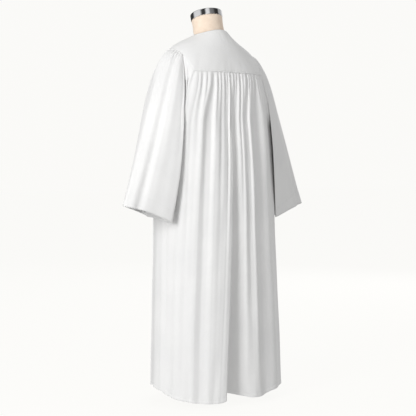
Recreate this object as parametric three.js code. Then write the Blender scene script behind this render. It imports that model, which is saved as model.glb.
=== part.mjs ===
// A choir robe with a smooth yoke, a gathered back and wide bell sleeves, hung on a limbless
// dress form. Millimetres, +Z up. The wearer's left is +X and the back is +Y.
// The origin is under the middle of the three-legged base, on the floor.
import * as THREE from 'three';

// Cloth
const CLOTH = 1.5;            // thickness of the cloth wall
const SEAM_GAP = 0.3;         // clearance between two pieces at a seam
const UNDERARM_Z = 930;       // height at which the side seams end in the armholes
const HEM_Z = 12;             // lowest point of the hem above the floor
const STEPS_PER_GATHER = 3;   // columns of faces across one gather of a panel
const STEPS_PER_PUFF = 2;     // the same for a gather of a sleeve
const UPPER_ROWS = [0, 0.08, 0.22, 0.45, 0.72, 1];
const LOWER_ROWS = [0.19, 0.38, 0.58, 0.79, 1];
const SLEEVE_ROWS = [0, 0.03, 0.08, 0.15, 0.24, 0.35, 0.47, 0.6, 0.73, 0.87, 1];
const YOKE_ROWS = 6;

// The robe's body at one height: half its width, how deep it is behind and before its centre, and
// how square it is (2 is an ellipse)
const BODY_LEVELS = [
  { z: 0, halfWidth: 241, back: 185, front: 188, centre: 42, square: 2.2 },
  { z: 300, halfWidth: 232, back: 173, front: 178, centre: 37, square: 2.2 },
  { z: 560, halfWidth: 224, back: 163, front: 167, centre: 31, square: 2.2 },
  { z: 800, halfWidth: 217, back: 153, front: 154, centre: 24, square: 2.4 },
  { z: 930, halfWidth: 206, back: 146, front: 143, centre: 15, square: 2.8 },
  { z: 1015, halfWidth: 194, back: 140, front: 132, centre: 8, square: 3.1 },
  { z: 1102, halfWidth: 165, back: 132, front: 118, centre: 0, square: 3.7 },
];

// How high the hem hangs above its lowest point, by the turn around the body in degrees from +X
const HEM_RISE = [
  { turn: -90, rise: 12 }, { turn: -40, rise: 32 }, { turn: -20, rise: 44 },
  { turn: 0, rise: 39 }, { turn: 10, rise: 29 }, { turn: 20, rise: 21 }, { turn: 30, rise: 15 },
  { turn: 45, rise: 8 }, { turn: 60, rise: 7 }, { turn: 67, rise: 11 }, { turn: 72, rise: 22 },
  { turn: 80, rise: 22 }, { turn: 88, rise: 16 }, { turn: 96, rise: 9 }, { turn: 108, rise: 10 },
  { turn: 118, rise: 20 }, { turn: 130, rise: 25 }, { turn: 150, rise: 24 },
  { turn: 180, rise: 39 },
];

// The outer edge of the yoke on the wearer's left, from the centre back to the centre front.
// lean is how far the seam's face is tipped up from level, in degrees, and gathers is the number
// of gathers between this point and the one before it.
const YOKE_EDGE = [
  { name: 'centre back', x: 0, y: 132, z: 1102, lean: 14, gathers: 0 },
  { name: 'back corner', x: 143.5, y: 105, z: 1102, lean: 16, gathers: 10 },
  { name: 'back armhole', x: 153.5, y: 58, z: 1158, lean: 34, gathers: 3 },
  { name: 'shoulder seam', x: 160, y: -12, z: 1182, lean: 50, gathers: 7 },
  { name: 'front armhole', x: 152, y: -54, z: 1150, lean: 34, gathers: 4 },
  { name: 'front corner', x: 138, y: -92, z: 1102, lean: 16, gathers: 3 },
  { name: 'centre front', x: 0, y: -118, z: 1102, lean: 14, gathers: 8 },
];
// How far the middle of each stretch of that edge bulges from its chord
const EDGE_BULGE = [
  null, { x: 0, y: 11, z: 0 }, { x: 2, y: 0, z: 7 }, { x: 3, y: 2, z: 9 },
  { x: 2, y: 0, z: 6 }, { x: 2, y: 0, z: 4 }, { x: 0, y: -9, z: 0 },
];

// The neckline, by the turn from +X: an oval round the neck that dips in front
const NECKLINE = { halfWidth: 61, back: 61, front: 78, centre: 3, backZ: 1252, sideZ: 1238, dip: 62 };

// Folds of the gathered back. Each row is one line of cloth that falls from the yoke seam: at is
// its place along the seam from 0 at the left side to 1 at the right. turn is where it hangs round
// the body, in degrees, and sink how far it lies inside the body's outline, at the underarm, at
// the middle and at the hem.
const BACK_FOLDS = [
  { at: 0.0, turnArm: 0, turnMid: 0, turnHem: 0, sinkArm: 0, sinkMid: 0, sinkHem: 0 },
  { at: 0.06, turnArm: 17, turnMid: 14, turnHem: 12, sinkArm: 1, sinkMid: 5, sinkHem: 4 },
  { at: 0.12, turnArm: 34, turnMid: 26, turnHem: 22, sinkArm: 0, sinkMid: 0, sinkHem: 0 },
  { at: 0.2, turnArm: 48, turnMid: 39, turnHem: 34, sinkArm: 3, sinkMid: 2, sinkHem: 3 },
  { at: 0.24, turnArm: 53, turnMid: 45, turnHem: 39, sinkArm: 0, sinkMid: 0, sinkHem: 0 },
  { at: 0.277, turnArm: 58, turnMid: 51, turnHem: 45, sinkArm: 8, sinkMid: 9, sinkHem: 7 },
  { at: 0.33, turnArm: 66, turnMid: 59, turnHem: 53, sinkArm: 0, sinkMid: 0, sinkHem: 0 },
  { at: 0.41, turnArm: 77, turnMid: 70, turnHem: 61, sinkArm: 4, sinkMid: 1, sinkHem: 0 },
  { at: 0.45, turnArm: 81, turnMid: 75, turnHem: 66, sinkArm: 0, sinkMid: 0, sinkHem: 0 },
  { at: 0.48, turnArm: 84.5, turnMid: 79.5, turnHem: 69.5, sinkArm: 5, sinkMid: 16, sinkHem: 34 },
  { at: 0.51, turnArm: 87, turnMid: 83, turnHem: 74, sinkArm: 13, sinkMid: 36, sinkHem: 80 },
  { at: 0.55, turnArm: 91, turnMid: 88, turnHem: 83, sinkArm: 4, sinkMid: 20, sinkHem: 55 },
  { at: 0.59, turnArm: 95, turnMid: 93, turnHem: 91, sinkArm: 0, sinkMid: 8, sinkHem: 30 },
  { at: 0.634, turnArm: 99.5, turnMid: 98.5, turnHem: 98, sinkArm: 8, sinkMid: 11, sinkHem: 18 },
  { at: 0.68, turnArm: 104, turnMid: 103, turnHem: 102, sinkArm: 0, sinkMid: 3, sinkHem: 14 },
  { at: 0.737, turnArm: 111, turnMid: 109, turnHem: 108, sinkArm: 13, sinkMid: 15, sinkHem: 20 },
  { at: 0.8, turnArm: 124, turnMid: 124, turnHem: 124, sinkArm: 0, sinkMid: 0, sinkHem: 2 },
  { at: 0.85, turnArm: 136, turnMid: 138, turnHem: 139, sinkArm: 5, sinkMid: 5, sinkHem: 8 },
  { at: 0.9, turnArm: 148, turnMid: 150, turnHem: 152, sinkArm: 0, sinkMid: 0, sinkHem: 0 },
  { at: 0.95, turnArm: 163, turnMid: 165, turnHem: 166, sinkArm: 1, sinkMid: 4, sinkHem: 6 },
  { at: 1.0, turnArm: 180, turnMid: 180, turnHem: 180, sinkArm: 0, sinkMid: 0, sinkHem: 0 },
];

// Folds of the left front, from the centre front to the side; the right front mirrors them
const FRONT_FOLDS = [
  { at: 0.0, turnArm: -90, turnMid: -90, turnHem: -90, sinkArm: 0, sinkMid: 0, sinkHem: 0 },
  { at: 0.14, turnArm: -80, turnMid: -80, turnHem: -80, sinkArm: 0, sinkMid: 0, sinkHem: 0 },
  { at: 0.26, turnArm: -71, turnMid: -71, turnHem: -72, sinkArm: 9, sinkMid: 14, sinkHem: 22 },
  { at: 0.38, turnArm: -61, turnMid: -61, turnHem: -63, sinkArm: 0, sinkMid: 0, sinkHem: 0 },
  { at: 0.5, turnArm: -51, turnMid: -50, turnHem: -52, sinkArm: 6, sinkMid: 9, sinkHem: 14 },
  { at: 0.62, turnArm: -40, turnMid: -38, turnHem: -40, sinkArm: 0, sinkMid: 0, sinkHem: 0 },
  { at: 0.76, turnArm: -26, turnMid: -24, turnHem: -25, sinkArm: 4, sinkMid: 6, sinkHem: 8 },
  { at: 0.88, turnArm: -13, turnMid: -12, turnHem: -12, sinkArm: 0, sinkMid: 0, sinkHem: 0 },
  { at: 1.0, turnArm: 0, turnMid: 0, turnHem: 0, sinkArm: 0, sinkMid: 0, sinkHem: 0 },
];

// The armhole edges between the yoke and the underarm; down is 0 at the yoke and 1 at the underarm
const ARMHOLE_BACK = [
  { down: 0, x: 153.5, y: 58 }, { down: 0.2, x: 158, y: 73 }, { down: 0.4, x: 163, y: 84 },
  { down: 0.6, x: 170, y: 86 }, { down: 0.8, x: 184, y: 66 }, { down: 1, x: 206, y: 15 },
];
const ARMHOLE_FRONT = [
  { down: 0, x: 152, y: -54 }, { down: 0.2, x: 156, y: -66 }, { down: 0.4, x: 161, y: -72 },
  { down: 0.6, x: 169, y: -68 }, { down: 0.8, x: 183, y: -44 }, { down: 1, x: 206, y: 15 },
];

// Lines down the left sleeve. ring is the place round the sleeve, from the shoulder over the back.
// Each line is a curve from the armhole past spring and fall to the cuff.
const SLEEVE_LINES = [
  { ring: 0, spring: [224, 8, 1178], fall: [258, 24, 1000], cuff: [380, 47, 662] },
  { ring: 1 / 8, spring: [200, 80, 1140], fall: [238, 108, 940], cuff: [318, 90, 640] },
  { ring: 2 / 8, spring: [188, 114, 1030], fall: [194, 136, 820], cuff: [238, 112, 598] },
  { ring: 3 / 8, spring: [208, 110, 990], fall: [226, 98, 790], cuff: [242, 72, 600] },
  { ring: 4 / 8, spring: [240, 14, 912], fall: [234, 22, 740], cuff: [239, 26, 607] },
  { ring: 5 / 8, spring: [214, -98, 1000], fall: [228, -76, 790], cuff: [242, -20, 614] },
  { ring: 6 / 8, spring: [192, -120, 1044], fall: [198, -122, 820], cuff: [240, -58, 625] },
  { ring: 7 / 8, spring: [200, -84, 1134], fall: [238, -78, 940], cuff: [318, -30, 652] },
];
const YOKE_SHARE = 1 / 8;     // place round the sleeve at which the yoke's edge ends, either way
// The two sleeves hang a little differently: how far out the head stands and how much higher the
// low side of the cuff is than on the table's sleeve
const SLEEVES = [
  { name: 'left', side: 1, spread: 0, lift: 0, tuck: 0 },
  { name: 'right', side: -1, spread: 11, lift: 18, tuck: 1 },
];
// How the rear edge of a sleeve that is tucked in behind the body is moved: where it is round the
// sleeve, how wide a stretch it carries along, and the shift of each of its points
const TUCK = { ring: 0.25, width: 0.17, spring: [-4, 9], fall: [-24, 18], cuff: [-32, 10] };
const CUFF_TOP_Z = 662;
const CUFF_LOW_Z = 598;
// Share of the yoke's armhole edge, from its back end, where the sleeve's outer line starts
const SLEEVE_TOP_SHARE = 5 / 11;
// Folds of the sleeve: place round the ring, half width, and depth at the head, elbow and cuff
const SLEEVE_FOLDS = [
  { ring: 0.085, width: 0.02, head: 3, elbow: 11, cuff: 8 },
  { ring: 0.17, width: 0.03, head: 0, elbow: 3, cuff: 2 },
  { ring: 0.93, width: 0.03, head: 2, elbow: 8, cuff: 6 },
  { ring: 0.82, width: 0.035, head: 0, elbow: 5, cuff: 4 },
];

const GATHER_DEPTH = 1.7;     // half the height of a gather at its fullest
const GATHER_AT_SEAM = 0.8;   // the same at the seam itself
const GATHER_FULL = 26;       // distance below the seam at which a gather is fullest
const GATHER_FADE = 130;      // distance over which it fades below that

// The dress form, by its height: centre, half its width and half its depth
const FORM_LEVELS = [
  { z: 522, centre: 4, halfWidth: 128, halfDepth: 86, square: 2.2 },
  { z: 532, centre: 4, halfWidth: 150, halfDepth: 103, square: 2.2 },
  { z: 570, centre: 5, halfWidth: 164, halfDepth: 112, square: 2.2 },
  { z: 640, centre: 6, halfWidth: 168, halfDepth: 114, square: 2.2 },
  { z: 740, centre: 4, halfWidth: 152, halfDepth: 102, square: 2.2 },
  { z: 830, centre: 0, halfWidth: 128, halfDepth: 88, square: 2.1 },
  { z: 900, centre: -2, halfWidth: 126, halfDepth: 88, square: 2.1 },
  { z: 980, centre: -4, halfWidth: 140, halfDepth: 102, square: 2.2 },
  { z: 1050, centre: -4, halfWidth: 149, halfDepth: 104, square: 2.4 },
  { z: 1110, centre: 2, halfWidth: 151, halfDepth: 88, square: 2.5 },
  { z: 1150, centre: 6, halfWidth: 149, halfDepth: 64, square: 2.4 },
  { z: 1178, centre: 6, halfWidth: 148, halfDepth: 50, square: 2.3 },
  { z: 1195.8, centre: 6, halfWidth: 140, halfDepth: 43, square: 2.2 },
  { z: 1205.8, centre: 6, halfWidth: 123, halfDepth: 41, square: 2.1 },
  { z: 1217, centre: 6, halfWidth: 98, halfDepth: 42, square: 2 },
  { z: 1227, centre: 6.5, halfWidth: 69, halfDepth: 44.5, square: 2 },
  { z: 1236, centre: 1, halfWidth: 57, halfDepth: 50, square: 2 },
  { z: 1248, centre: -3, halfWidth: 55, halfDepth: 53, square: 2 },
];
const FORM_SIDES = 32;
const NECK_RADIUS = 53.5;     // top of the neck, where the cap sits
const NECK_TOP = { y: -15, z: 1295 };
const NECK_TILT = 14;         // degrees that the top of the neck leans forward
const CAP_HEIGHT = 22;
const CAP_OVERHANG = 1.2;     // how far the cap stands out past the neck
const CAP_BEVEL = 1.5;

// The stand
const POLE_RADIUS = 14;
const HUB_RADIUS = 34;
const LEG_COUNT = 3;
const LEG_LENGTH = 140;       // from the pole's axis to the tip
const LEG_WIDTH = 30;
const LEG_HEIGHT = 12;
const LEG_TURN = 68;          // degrees from +X to the first leg

const WHITE_CLOTH = { color: 0xf3f3f3, roughness: 0.85, metalness: 0 };
const LINEN = { color: 0xead2bb, roughness: 0.9, metalness: 0 };
const CHROME = { color: 0xc9cbcd, roughness: 0.12, metalness: 1 };
const STEEL = { color: 0xb9bbbd, roughness: 0.35, metalness: 1 };

const mix = (a, b, t) => a + (b - a) * t;
const clamp01 = (t) => Math.min(1, Math.max(0, t));
const smooth = (t) => clamp01(t) ** 2 * (3 - 2 * clamp01(t));
const radians = THREE.MathUtils.degToRad;

// Smooth curve through one column of a table whose rows are sorted by another column
function tableAt(rows, key, column, at) {
  const last = rows.length - 1;
  let i = 0;
  while (i < last - 1 && at > rows[i + 1][key]) i += 1;
  const slope = (k) => {
    const a = rows[Math.max(0, k - 1)];
    const b = rows[Math.min(last, k + 1)];
    return (b[column] - a[column]) / (b[key] - a[key]);
  };
  const span = rows[i + 1][key] - rows[i][key];
  const t = clamp01((at - rows[i][key]) / span);
  const t2 = t * t;
  const t3 = t2 * t;
  return (2 * t3 - 3 * t2 + 1) * rows[i][column] + (t3 - 2 * t2 + t) * span * slope(i)
    + (3 * t2 - 2 * t3) * rows[i + 1][column] + (t3 - t2) * span * slope(i + 1);
}

// A point on the body's outline at one height, and the direction square to that outline
function bodyOutline(z, turn) {
  const level = (column) => tableAt(BODY_LEVELS, 'z', column, z);
  const square = level('square');
  const side = Math.cos(radians(turn));
  const depth = Math.sin(radians(turn));
  const reach = (Math.abs(side) ** square + Math.abs(depth) ** square) ** (-1 / square);
  const halfDepth = depth >= 0 ? level('back') : level('front');
  const halfWidth = level('halfWidth');
  const point = new THREE.Vector3(
    halfWidth * reach * side, level('centre') + halfDepth * reach * depth, z);
  const normal = new THREE.Vector3(
    Math.sign(side) * Math.abs(side) ** (square - 1) / halfWidth,
    Math.sign(depth) * Math.abs(depth) ** (square - 1) / halfDepth, 0).normalize();
  return { point, normal };
}

// The vertices of the yoke's edge on one side, evenly spaced in each stretch, with the direction
// of the seam's face (out of the cloth) and the direction across the seam (away from the yoke)
function yokeEdge(side) {
  const vertices = [];
  for (let s = 1; s < YOKE_EDGE.length; s += 1) {
    const from = YOKE_EDGE[s - 1];
    const to = YOKE_EDGE[s];
    const bulge = EDGE_BULGE[s];
    for (let k = s === 1 ? 0 : 1; k <= to.gathers; k += 1) {
      const t = k / to.gathers;
      const arch = 4 * t * (1 - t);
      vertices.push({
        point: new THREE.Vector3(
          side * (mix(from.x, to.x, t) + bulge.x * arch),
          mix(from.y, to.y, t) + bulge.y * arch, mix(from.z, to.z, t) + bulge.z * arch),
        lean: mix(from.lean, to.lean, t),
        name: k === to.gathers ? to.name : null,
      });
    }
  }
  vertices[0].name = YOKE_EDGE[0].name;
  vertices.forEach((vertex, i) => {
    const before = vertices[Math.max(0, i - 1)].point;
    const after = vertices[Math.min(vertices.length - 1, i + 1)].point;
    const along = after.clone().sub(before);
    if (i === 0 || i === vertices.length - 1) along.set(side, 0, 0);
    along.normalize();
    const { point } = vertex;
    const out = new THREE.Vector3(point.x / 165 ** 2, point.y / 130 ** 2, 0);
    if (Math.abs(point.x) > 140) out.set(side * 1, 0.45 * point.y / 100, 0);
    out.normalize().multiplyScalar(Math.cos(radians(vertex.lean)));
    out.z = Math.sin(radians(vertex.lean));
    out.addScaledVector(along, -out.dot(along)).normalize();
    vertex.face = out;
    vertex.across = new THREE.Vector3().crossVectors(along, out).normalize();
    if (vertex.across.z > 0) vertex.across.negate();
  });
  return vertices;
}

const EDGE_LEFT = yokeEdge(1);
const EDGE_RIGHT = yokeEdge(-1);
const named = (edge, name) => edge.findIndex((vertex) => vertex.name === name);

// A stretch of edge vertices between two named ones
function stretch(edge, from, to) {
  const a = named(edge, from);
  const b = named(edge, to);
  return a <= b ? edge.slice(a, b + 1) : edge.slice(b, a + 1).reverse();
}

// A place on a polyline of edge vertices; at runs from 0 to 1 in equal steps from vertex to vertex
function edgeAt(edge, at) {
  const scaled = clamp01(at) * (edge.length - 1);
  const i = Math.min(edge.length - 2, Math.floor(scaled));
  const t = scaled - i;
  const blend = (key) => edge[i][key].clone().lerp(edge[i + 1][key], t);
  return {
    point: blend('point'), face: blend('face').normalize(), across: blend('across').normalize(),
  };
}

// How high the hem hangs at one turn
const hemHeight = (turn) => HEM_Z + tableAt(HEM_RISE, 'turn', 'rise', turn);

// A value given at the underarm, the middle and the hem, at a place between them
function fallOf(folds, column, at, down) {
  const arm = tableAt(folds, 'at', `${column}Arm`, at);
  const mid = tableAt(folds, 'at', `${column}Mid`, at);
  const hem = tableAt(folds, 'at', `${column}Hem`, at);
  const middle = 0.42;
  return arm * (down - middle) * (down - 1) / middle
    + mid * down * (1 - down) / (middle * (1 - middle))
    + hem * down * (down - middle) / (1 - middle);
}

// The cloth below the underarm: down is 0 at the underarm and 1 at the hem
function lowerCloth(folds, at, down) {
  const turn = fallOf(folds, 'turn', at, down);
  const z = mix(UNDERARM_Z, hemHeight(turn), down);
  const { point, normal } = bodyOutline(z, turn);
  return point.addScaledVector(normal, -Math.max(0, fallOf(folds, 'sink', at, down)));
}

// How strongly the gathers stand out, a distance below the seam
function gatherSize(below) {
  const rise = mix(GATHER_AT_SEAM, GATHER_DEPTH, smooth(below / GATHER_FULL));
  return rise * Math.exp(-((Math.max(0, below - GATHER_FULL) / GATHER_FADE) ** 2));
}

// Wave of the gathers: whole gathers along the seam, some deeper than others
function gatherWave(count) {
  return Math.cos(2 * Math.PI * count) * (0.75 + 0.25 * Math.sin(2.3 * count));
}

// A gathered panel below the yoke. It hangs from edge, folds gives its folds, and armholes holds
// the table of its armhole edge at either end, or null where it has none there. reach is the share
// of the panel that follows the shape of an armhole edge.
function gatheredPanel({ edge, folds, armholes, reach, mirror }) {
  const gathers = edge.length - 1;
  const columns = gathers * STEPS_PER_GATHER;
  const flip = (point) => (mirror ? point.setX(-point.x) : point);

  // Smooth cloth between the seam and the underarm
  const hang = (at, down) => {
    const seam = edgeAt(edge, at);
    const start = seam.point.addScaledVector(seam.across, SEAM_GAP);
    const end = flip(lowerCloth(folds, at, 0));
    const next = flip(lowerCloth(folds, at, 0.1));
    const drop = start.z - end.z;
    const leave = seam.across.multiplyScalar(drop);
    const arrive = next.sub(end).multiplyScalar(drop / (0.1 * (UNDERARM_Z - HEM_Z)));
    const t2 = down * down;
    const t3 = t2 * down;
    return start.multiplyScalar(2 * t3 - 3 * t2 + 1).addScaledVector(leave, t3 - 2 * t2 + down)
      .addScaledVector(end, 3 * t2 - 2 * t3).addScaledVector(arrive, t3 - t2);
  };
  // What moves an end of the hanging cloth onto its armhole edge
  const armholeShift = (end, down) => {
    const table = armholes[end];
    if (!table) return null;
    const top = edgeAt(edge, end).point;
    const shape = new THREE.Vector3(Math.sign(top.x) * tableAt(table, 'down', 'x', down),
      tableAt(table, 'down', 'y', down), mix(top.z, UNDERARM_Z, down));
    const seamGap = hang(end, 0).sub(top).multiplyScalar(1 - down);
    return shape.add(seamGap).sub(hang(end, down));
  };
  const upperCloth = (at, down) => {
    const point = hang(at, down);
    for (const end of [0, 1]) {
      const shift = armholeShift(end, down);
      const near = smooth(1 - Math.abs(at - end) / reach);
      if (shift && near > 0) point.addScaledVector(shift, near);
    }
    return point;
  };
  // rows runs from 0 at the seam through 1 at the underarm to 2 at the hem
  const cloth = (at, rows) => (rows <= 1 ? upperCloth(at, rows)
    : flip(lowerCloth(folds, at, rows - 1)));

  const rows = [...UPPER_ROWS, ...LOWER_ROWS.map((row) => row + 1)];
  const outer = [];
  const faces = [];
  rows.forEach((row) => {
    const line = [];
    const lineFaces = [];
    for (let k = 0; k <= columns; k += 1) {
      const at = k / columns;
      const point = cloth(at, row);
      const step = 0.002;
      const right = cloth(Math.min(1, at + step), row).sub(cloth(Math.max(0, at - step), row));
      const down = cloth(at, Math.min(2, row + 0.01)).sub(cloth(at, Math.max(0, row - 0.01)));
      const face = right.cross(down).normalize();
      if (face.x * point.x + face.y * (point.y - 20) < 0) face.negate();
      const onSide = (armholes[0] && k === 0) || (armholes[1] && k === columns);
      if (row === 0) face.copy(edgeAt(edge, at).face);
      if (onSide && row >= 1) face.set(Math.sign(point.x), 0, 0);
      if (!armholes[0] && k === 0) face.setX(0).normalize();
      const below = Math.max(0, edgeAt(edge, at).point.z - point.z);
      const sideFade = smooth(Math.min(at, 1 - at) * gathers);
      point.addScaledVector(face, gatherSize(below) * gatherWave(at * gathers) * sideFade);
      line.push(point);
      lineFaces.push(face);
    }
    outer.push(line);
    faces.push(lineFaces);
  });
  return { outer, faces };
}

// Closed solid between a grid of outer points and the same grid moved in by the cloth's thickness
function clothWall({ outer, faces, ring = false, thickness = CLOTH }) {
  const rows = outer.length;
  const columns = outer[0].length;
  const inner = outer.map((line, r) => line.map(
    (point, c) => point.clone().addScaledVector(faces[r][c], -thickness)));
  const positions = [...outer.flat(), ...inner.flat()].flatMap((point) => point.toArray());
  const index = [];
  const quad = (a, b, c, d) => index.push(a, b, c, a, c, d);
  const out = (r, c) => r * columns + (c % columns);
  const inn = (r, c) => rows * columns + out(r, c);
  const spans = ring ? columns : columns - 1;
  for (let r = 0; r < rows - 1; r += 1) {
    for (let c = 0; c < spans; c += 1) {
      quad(out(r, c), out(r, c + 1), out(r + 1, c + 1), out(r + 1, c));
      quad(inn(r, c), inn(r + 1, c), inn(r + 1, c + 1), inn(r, c + 1));
    }
    if (!ring) {
      quad(out(r, 0), out(r + 1, 0), inn(r + 1, 0), inn(r, 0));
      quad(out(r, spans), inn(r, spans), inn(r + 1, spans), out(r + 1, spans));
    }
  }
  for (let c = 0; c < spans; c += 1) {
    quad(out(0, c), inn(0, c), inn(0, c + 1), out(0, c + 1));
    quad(out(rows - 1, c), out(rows - 1, c + 1), inn(rows - 1, c + 1), inn(rows - 1, c));
  }
  return closedGeometry(positions, index);
}

// Geometry whose faces point outwards, whichever way its grid ran
function closedGeometry(positions, index) {
  const at = (i) => new THREE.Vector3().fromArray(positions, 3 * i);
  let volume = 0;
  for (let i = 0; i < index.length; i += 3) {
    volume += at(index[i]).dot(at(index[i + 1]).cross(at(index[i + 2])));
  }
  if (volume < 0) index.reverse();
  const geometry = new THREE.BufferGeometry();
  geometry.setAttribute('position', new THREE.Float32BufferAttribute(positions, 3));
  geometry.setIndex(index);
  geometry.computeVertexNormals();
  return geometry;
}

// The yoke from the neckline to its edge, under the edge vertices given
function yokePiece(edge, halfGapAtEnds) {
  const outer = [];
  const faces = [];
  const neck = (x, y) => {
    const turn = Math.atan2((y - NECKLINE.centre) / 110, x / 150);
    const depth = Math.sin(turn) >= 0 ? NECKLINE.back : NECKLINE.front;
    const ahead = clamp01(-Math.sin(turn));
    return new THREE.Vector3(
      NECKLINE.halfWidth * Math.cos(turn), NECKLINE.centre + depth * Math.sin(turn),
      mix(NECKLINE.backZ, NECKLINE.sideZ, Math.cos(turn) ** 2) - NECKLINE.dip * ahead ** 1.6);
  };
  const surface = (vertex, t) => {
    const start = neck(vertex.point.x, vertex.point.y);
    const reach = vertex.point.distanceTo(start);
    const slope = (degrees) => new THREE.Vector3(vertex.point.x / 150, vertex.point.y / 110, 0)
      .normalize().multiplyScalar(Math.cos(radians(degrees)) * reach)
      .setZ(-Math.sin(radians(degrees)) * reach);
    const leave = slope(mix(48, 24, smooth((vertex.lean - 14) / 34)));
    const arrive = slope(90 - vertex.lean);
    const t2 = t * t;
    const t3 = t2 * t;
    return start.multiplyScalar(2 * t3 - 3 * t2 + 1).addScaledVector(leave, t3 - 2 * t2 + t)
      .addScaledVector(vertex.point, 3 * t2 - 2 * t3).addScaledVector(arrive, t3 - t2);
  };
  for (let r = 0; r <= YOKE_ROWS; r += 1) {
    const t = r / YOKE_ROWS;
    outer.push(edge.map((vertex) => surface(vertex, t)));
  }
  outer.forEach((line, r) => {
    faces.push(line.map((point, c) => {
      if (r === YOKE_ROWS) return edge[c].face.clone();
      const above = outer[Math.max(0, r - 1)][c];
      const below = outer[r + 1][c];
      const left = line[Math.max(0, c - 1)];
      const right = line[Math.min(line.length - 1, c + 1)];
      const face = right.clone().sub(left).cross(below.clone().sub(above)).normalize();
      if (face.z < 0) face.negate();
      if (Math.abs(point.x) < 1) face.setX(0).normalize();
      if (edge[c].name === 'shoulder seam') face.setY(0).normalize();
      return face;
    }));
  });
  // Cut back each end that meets another piece by half the seam gap
  for (const [c, away] of [[0, halfGapAtEnds[0]], [edge.length - 1, halfGapAtEnds[1]]]) {
    if (away) outer.forEach((line) => line[c].add(away));
  }
  return { outer, faces };
}

// The sleeve on one side. head is the ring of armhole points, each with its face and the
// direction away from the body, in the order of the ring.
function sleevePiece(head, { side, spread, lift, tuck }) {
  const lines = SLEEVE_LINES.map((line) => ({ ...line }));
  const lineAt = (ring, key) => {
    const count = lines.length;
    const scaled = ((ring % 1) + 1) % 1 * count;
    const i = Math.floor(scaled);
    const t = scaled - i;
    const get = (k) => lines[(k + count) % count][key];
    return [0, 1, 2].map((axis) => {
      const [a, b, c, d] = [get(i - 1)[axis], get(i)[axis], get(i + 1)[axis], get(i + 2)[axis]];
      return 0.5 * (2 * b + (c - a) * t + (2 * a - 5 * b + 4 * c - d) * t * t
        + (3 * b - a - 3 * c + d) * t ** 3);
    });
  };
  const outer = SLEEVE_ROWS.map((t) => head.map((vertex) => {
    const start = vertex.point.clone().addScaledVector(vertex.across, SEAM_GAP);
    const [spring, fall, cuff] = ['spring', 'fall', 'cuff'].map(
      (key) => new THREE.Vector3(...lineAt(vertex.ring, key)));
    spring.x += spread * Math.max(0, Math.cos(2 * Math.PI * vertex.ring));
    cuff.z += lift * (CUFF_TOP_Z - cuff.z) / (CUFF_TOP_Z - CUFF_LOW_Z);
    const near = tuck * smooth(1 - Math.abs(vertex.ring - TUCK.ring) / TUCK.width);
    for (const [point, [x, y]] of [[spring, TUCK.spring], [fall, TUCK.fall], [cuff, TUCK.cuff]]) {
      point.x = side * (point.x + near * x);
      point.y += near * y;
    }
    const s = 1 - t;
    return start.multiplyScalar(s ** 3).addScaledVector(spring, 3 * s * s * t)
      .addScaledVector(fall, 3 * s * t * t).addScaledVector(cuff, t ** 3);
  }));
  // Round the seam the cloth's face is square to the way the sleeve leaves the armhole
  const seamFace = ({ face, across }, from, to) => {
    const leave = to.clone().sub(from).normalize();
    return face.clone().multiplyScalar(leave.dot(across))
      .addScaledVector(across, -leave.dot(face)).normalize();
  };
  // Where it dips or turns back over the seam it starts that much further off
  head.forEach((vertex, c) => {
    const leave = outer[1][c].clone().sub(outer[0][c]).normalize();
    outer[0][c].addScaledVector(vertex.across, CLOTH * Math.max(0, -leave.dot(vertex.face)))
      .addScaledVector(vertex.face, 2 * SEAM_GAP * Math.max(0, -leave.dot(vertex.across)));
  });
  const facesOf = () => outer.map((line, r) => line.map((point, c) => {
    if (r === 0) return seamFace(head[c], point, outer[1][c]);
    const above = outer[r - 1][c];
    const below = outer[Math.min(outer.length - 1, r + 1)][c];
    const before = line[(c + line.length - 1) % line.length];
    const after = line[(c + 1) % line.length];
    return after.clone().sub(before).cross(below.clone().sub(above))
      .multiplyScalar(-side).normalize();
  }));
  const faces = facesOf();
  outer.forEach((line, r) => line.forEach((point, c) => {
    const { ring, gather } = head[c];
    const t = SLEEVE_ROWS[r];
    let sink = 0;
    for (const fold of SLEEVE_FOLDS) {
      const gap = Math.abs(ring - fold.ring) / fold.width;
      const depth = t < 0.5 ? mix(fold.head, fold.elbow, smooth(2 * t))
        : mix(fold.elbow, fold.cuff, smooth(2 * t - 1));
      sink += depth * Math.exp(-gap * gap) * smooth(t / 0.15);
    }
    point.addScaledVector(faces[r][c], gather * gatherSize(t * 560) - sink);
  }));
  return { outer, faces: facesOf() };
}

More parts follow.
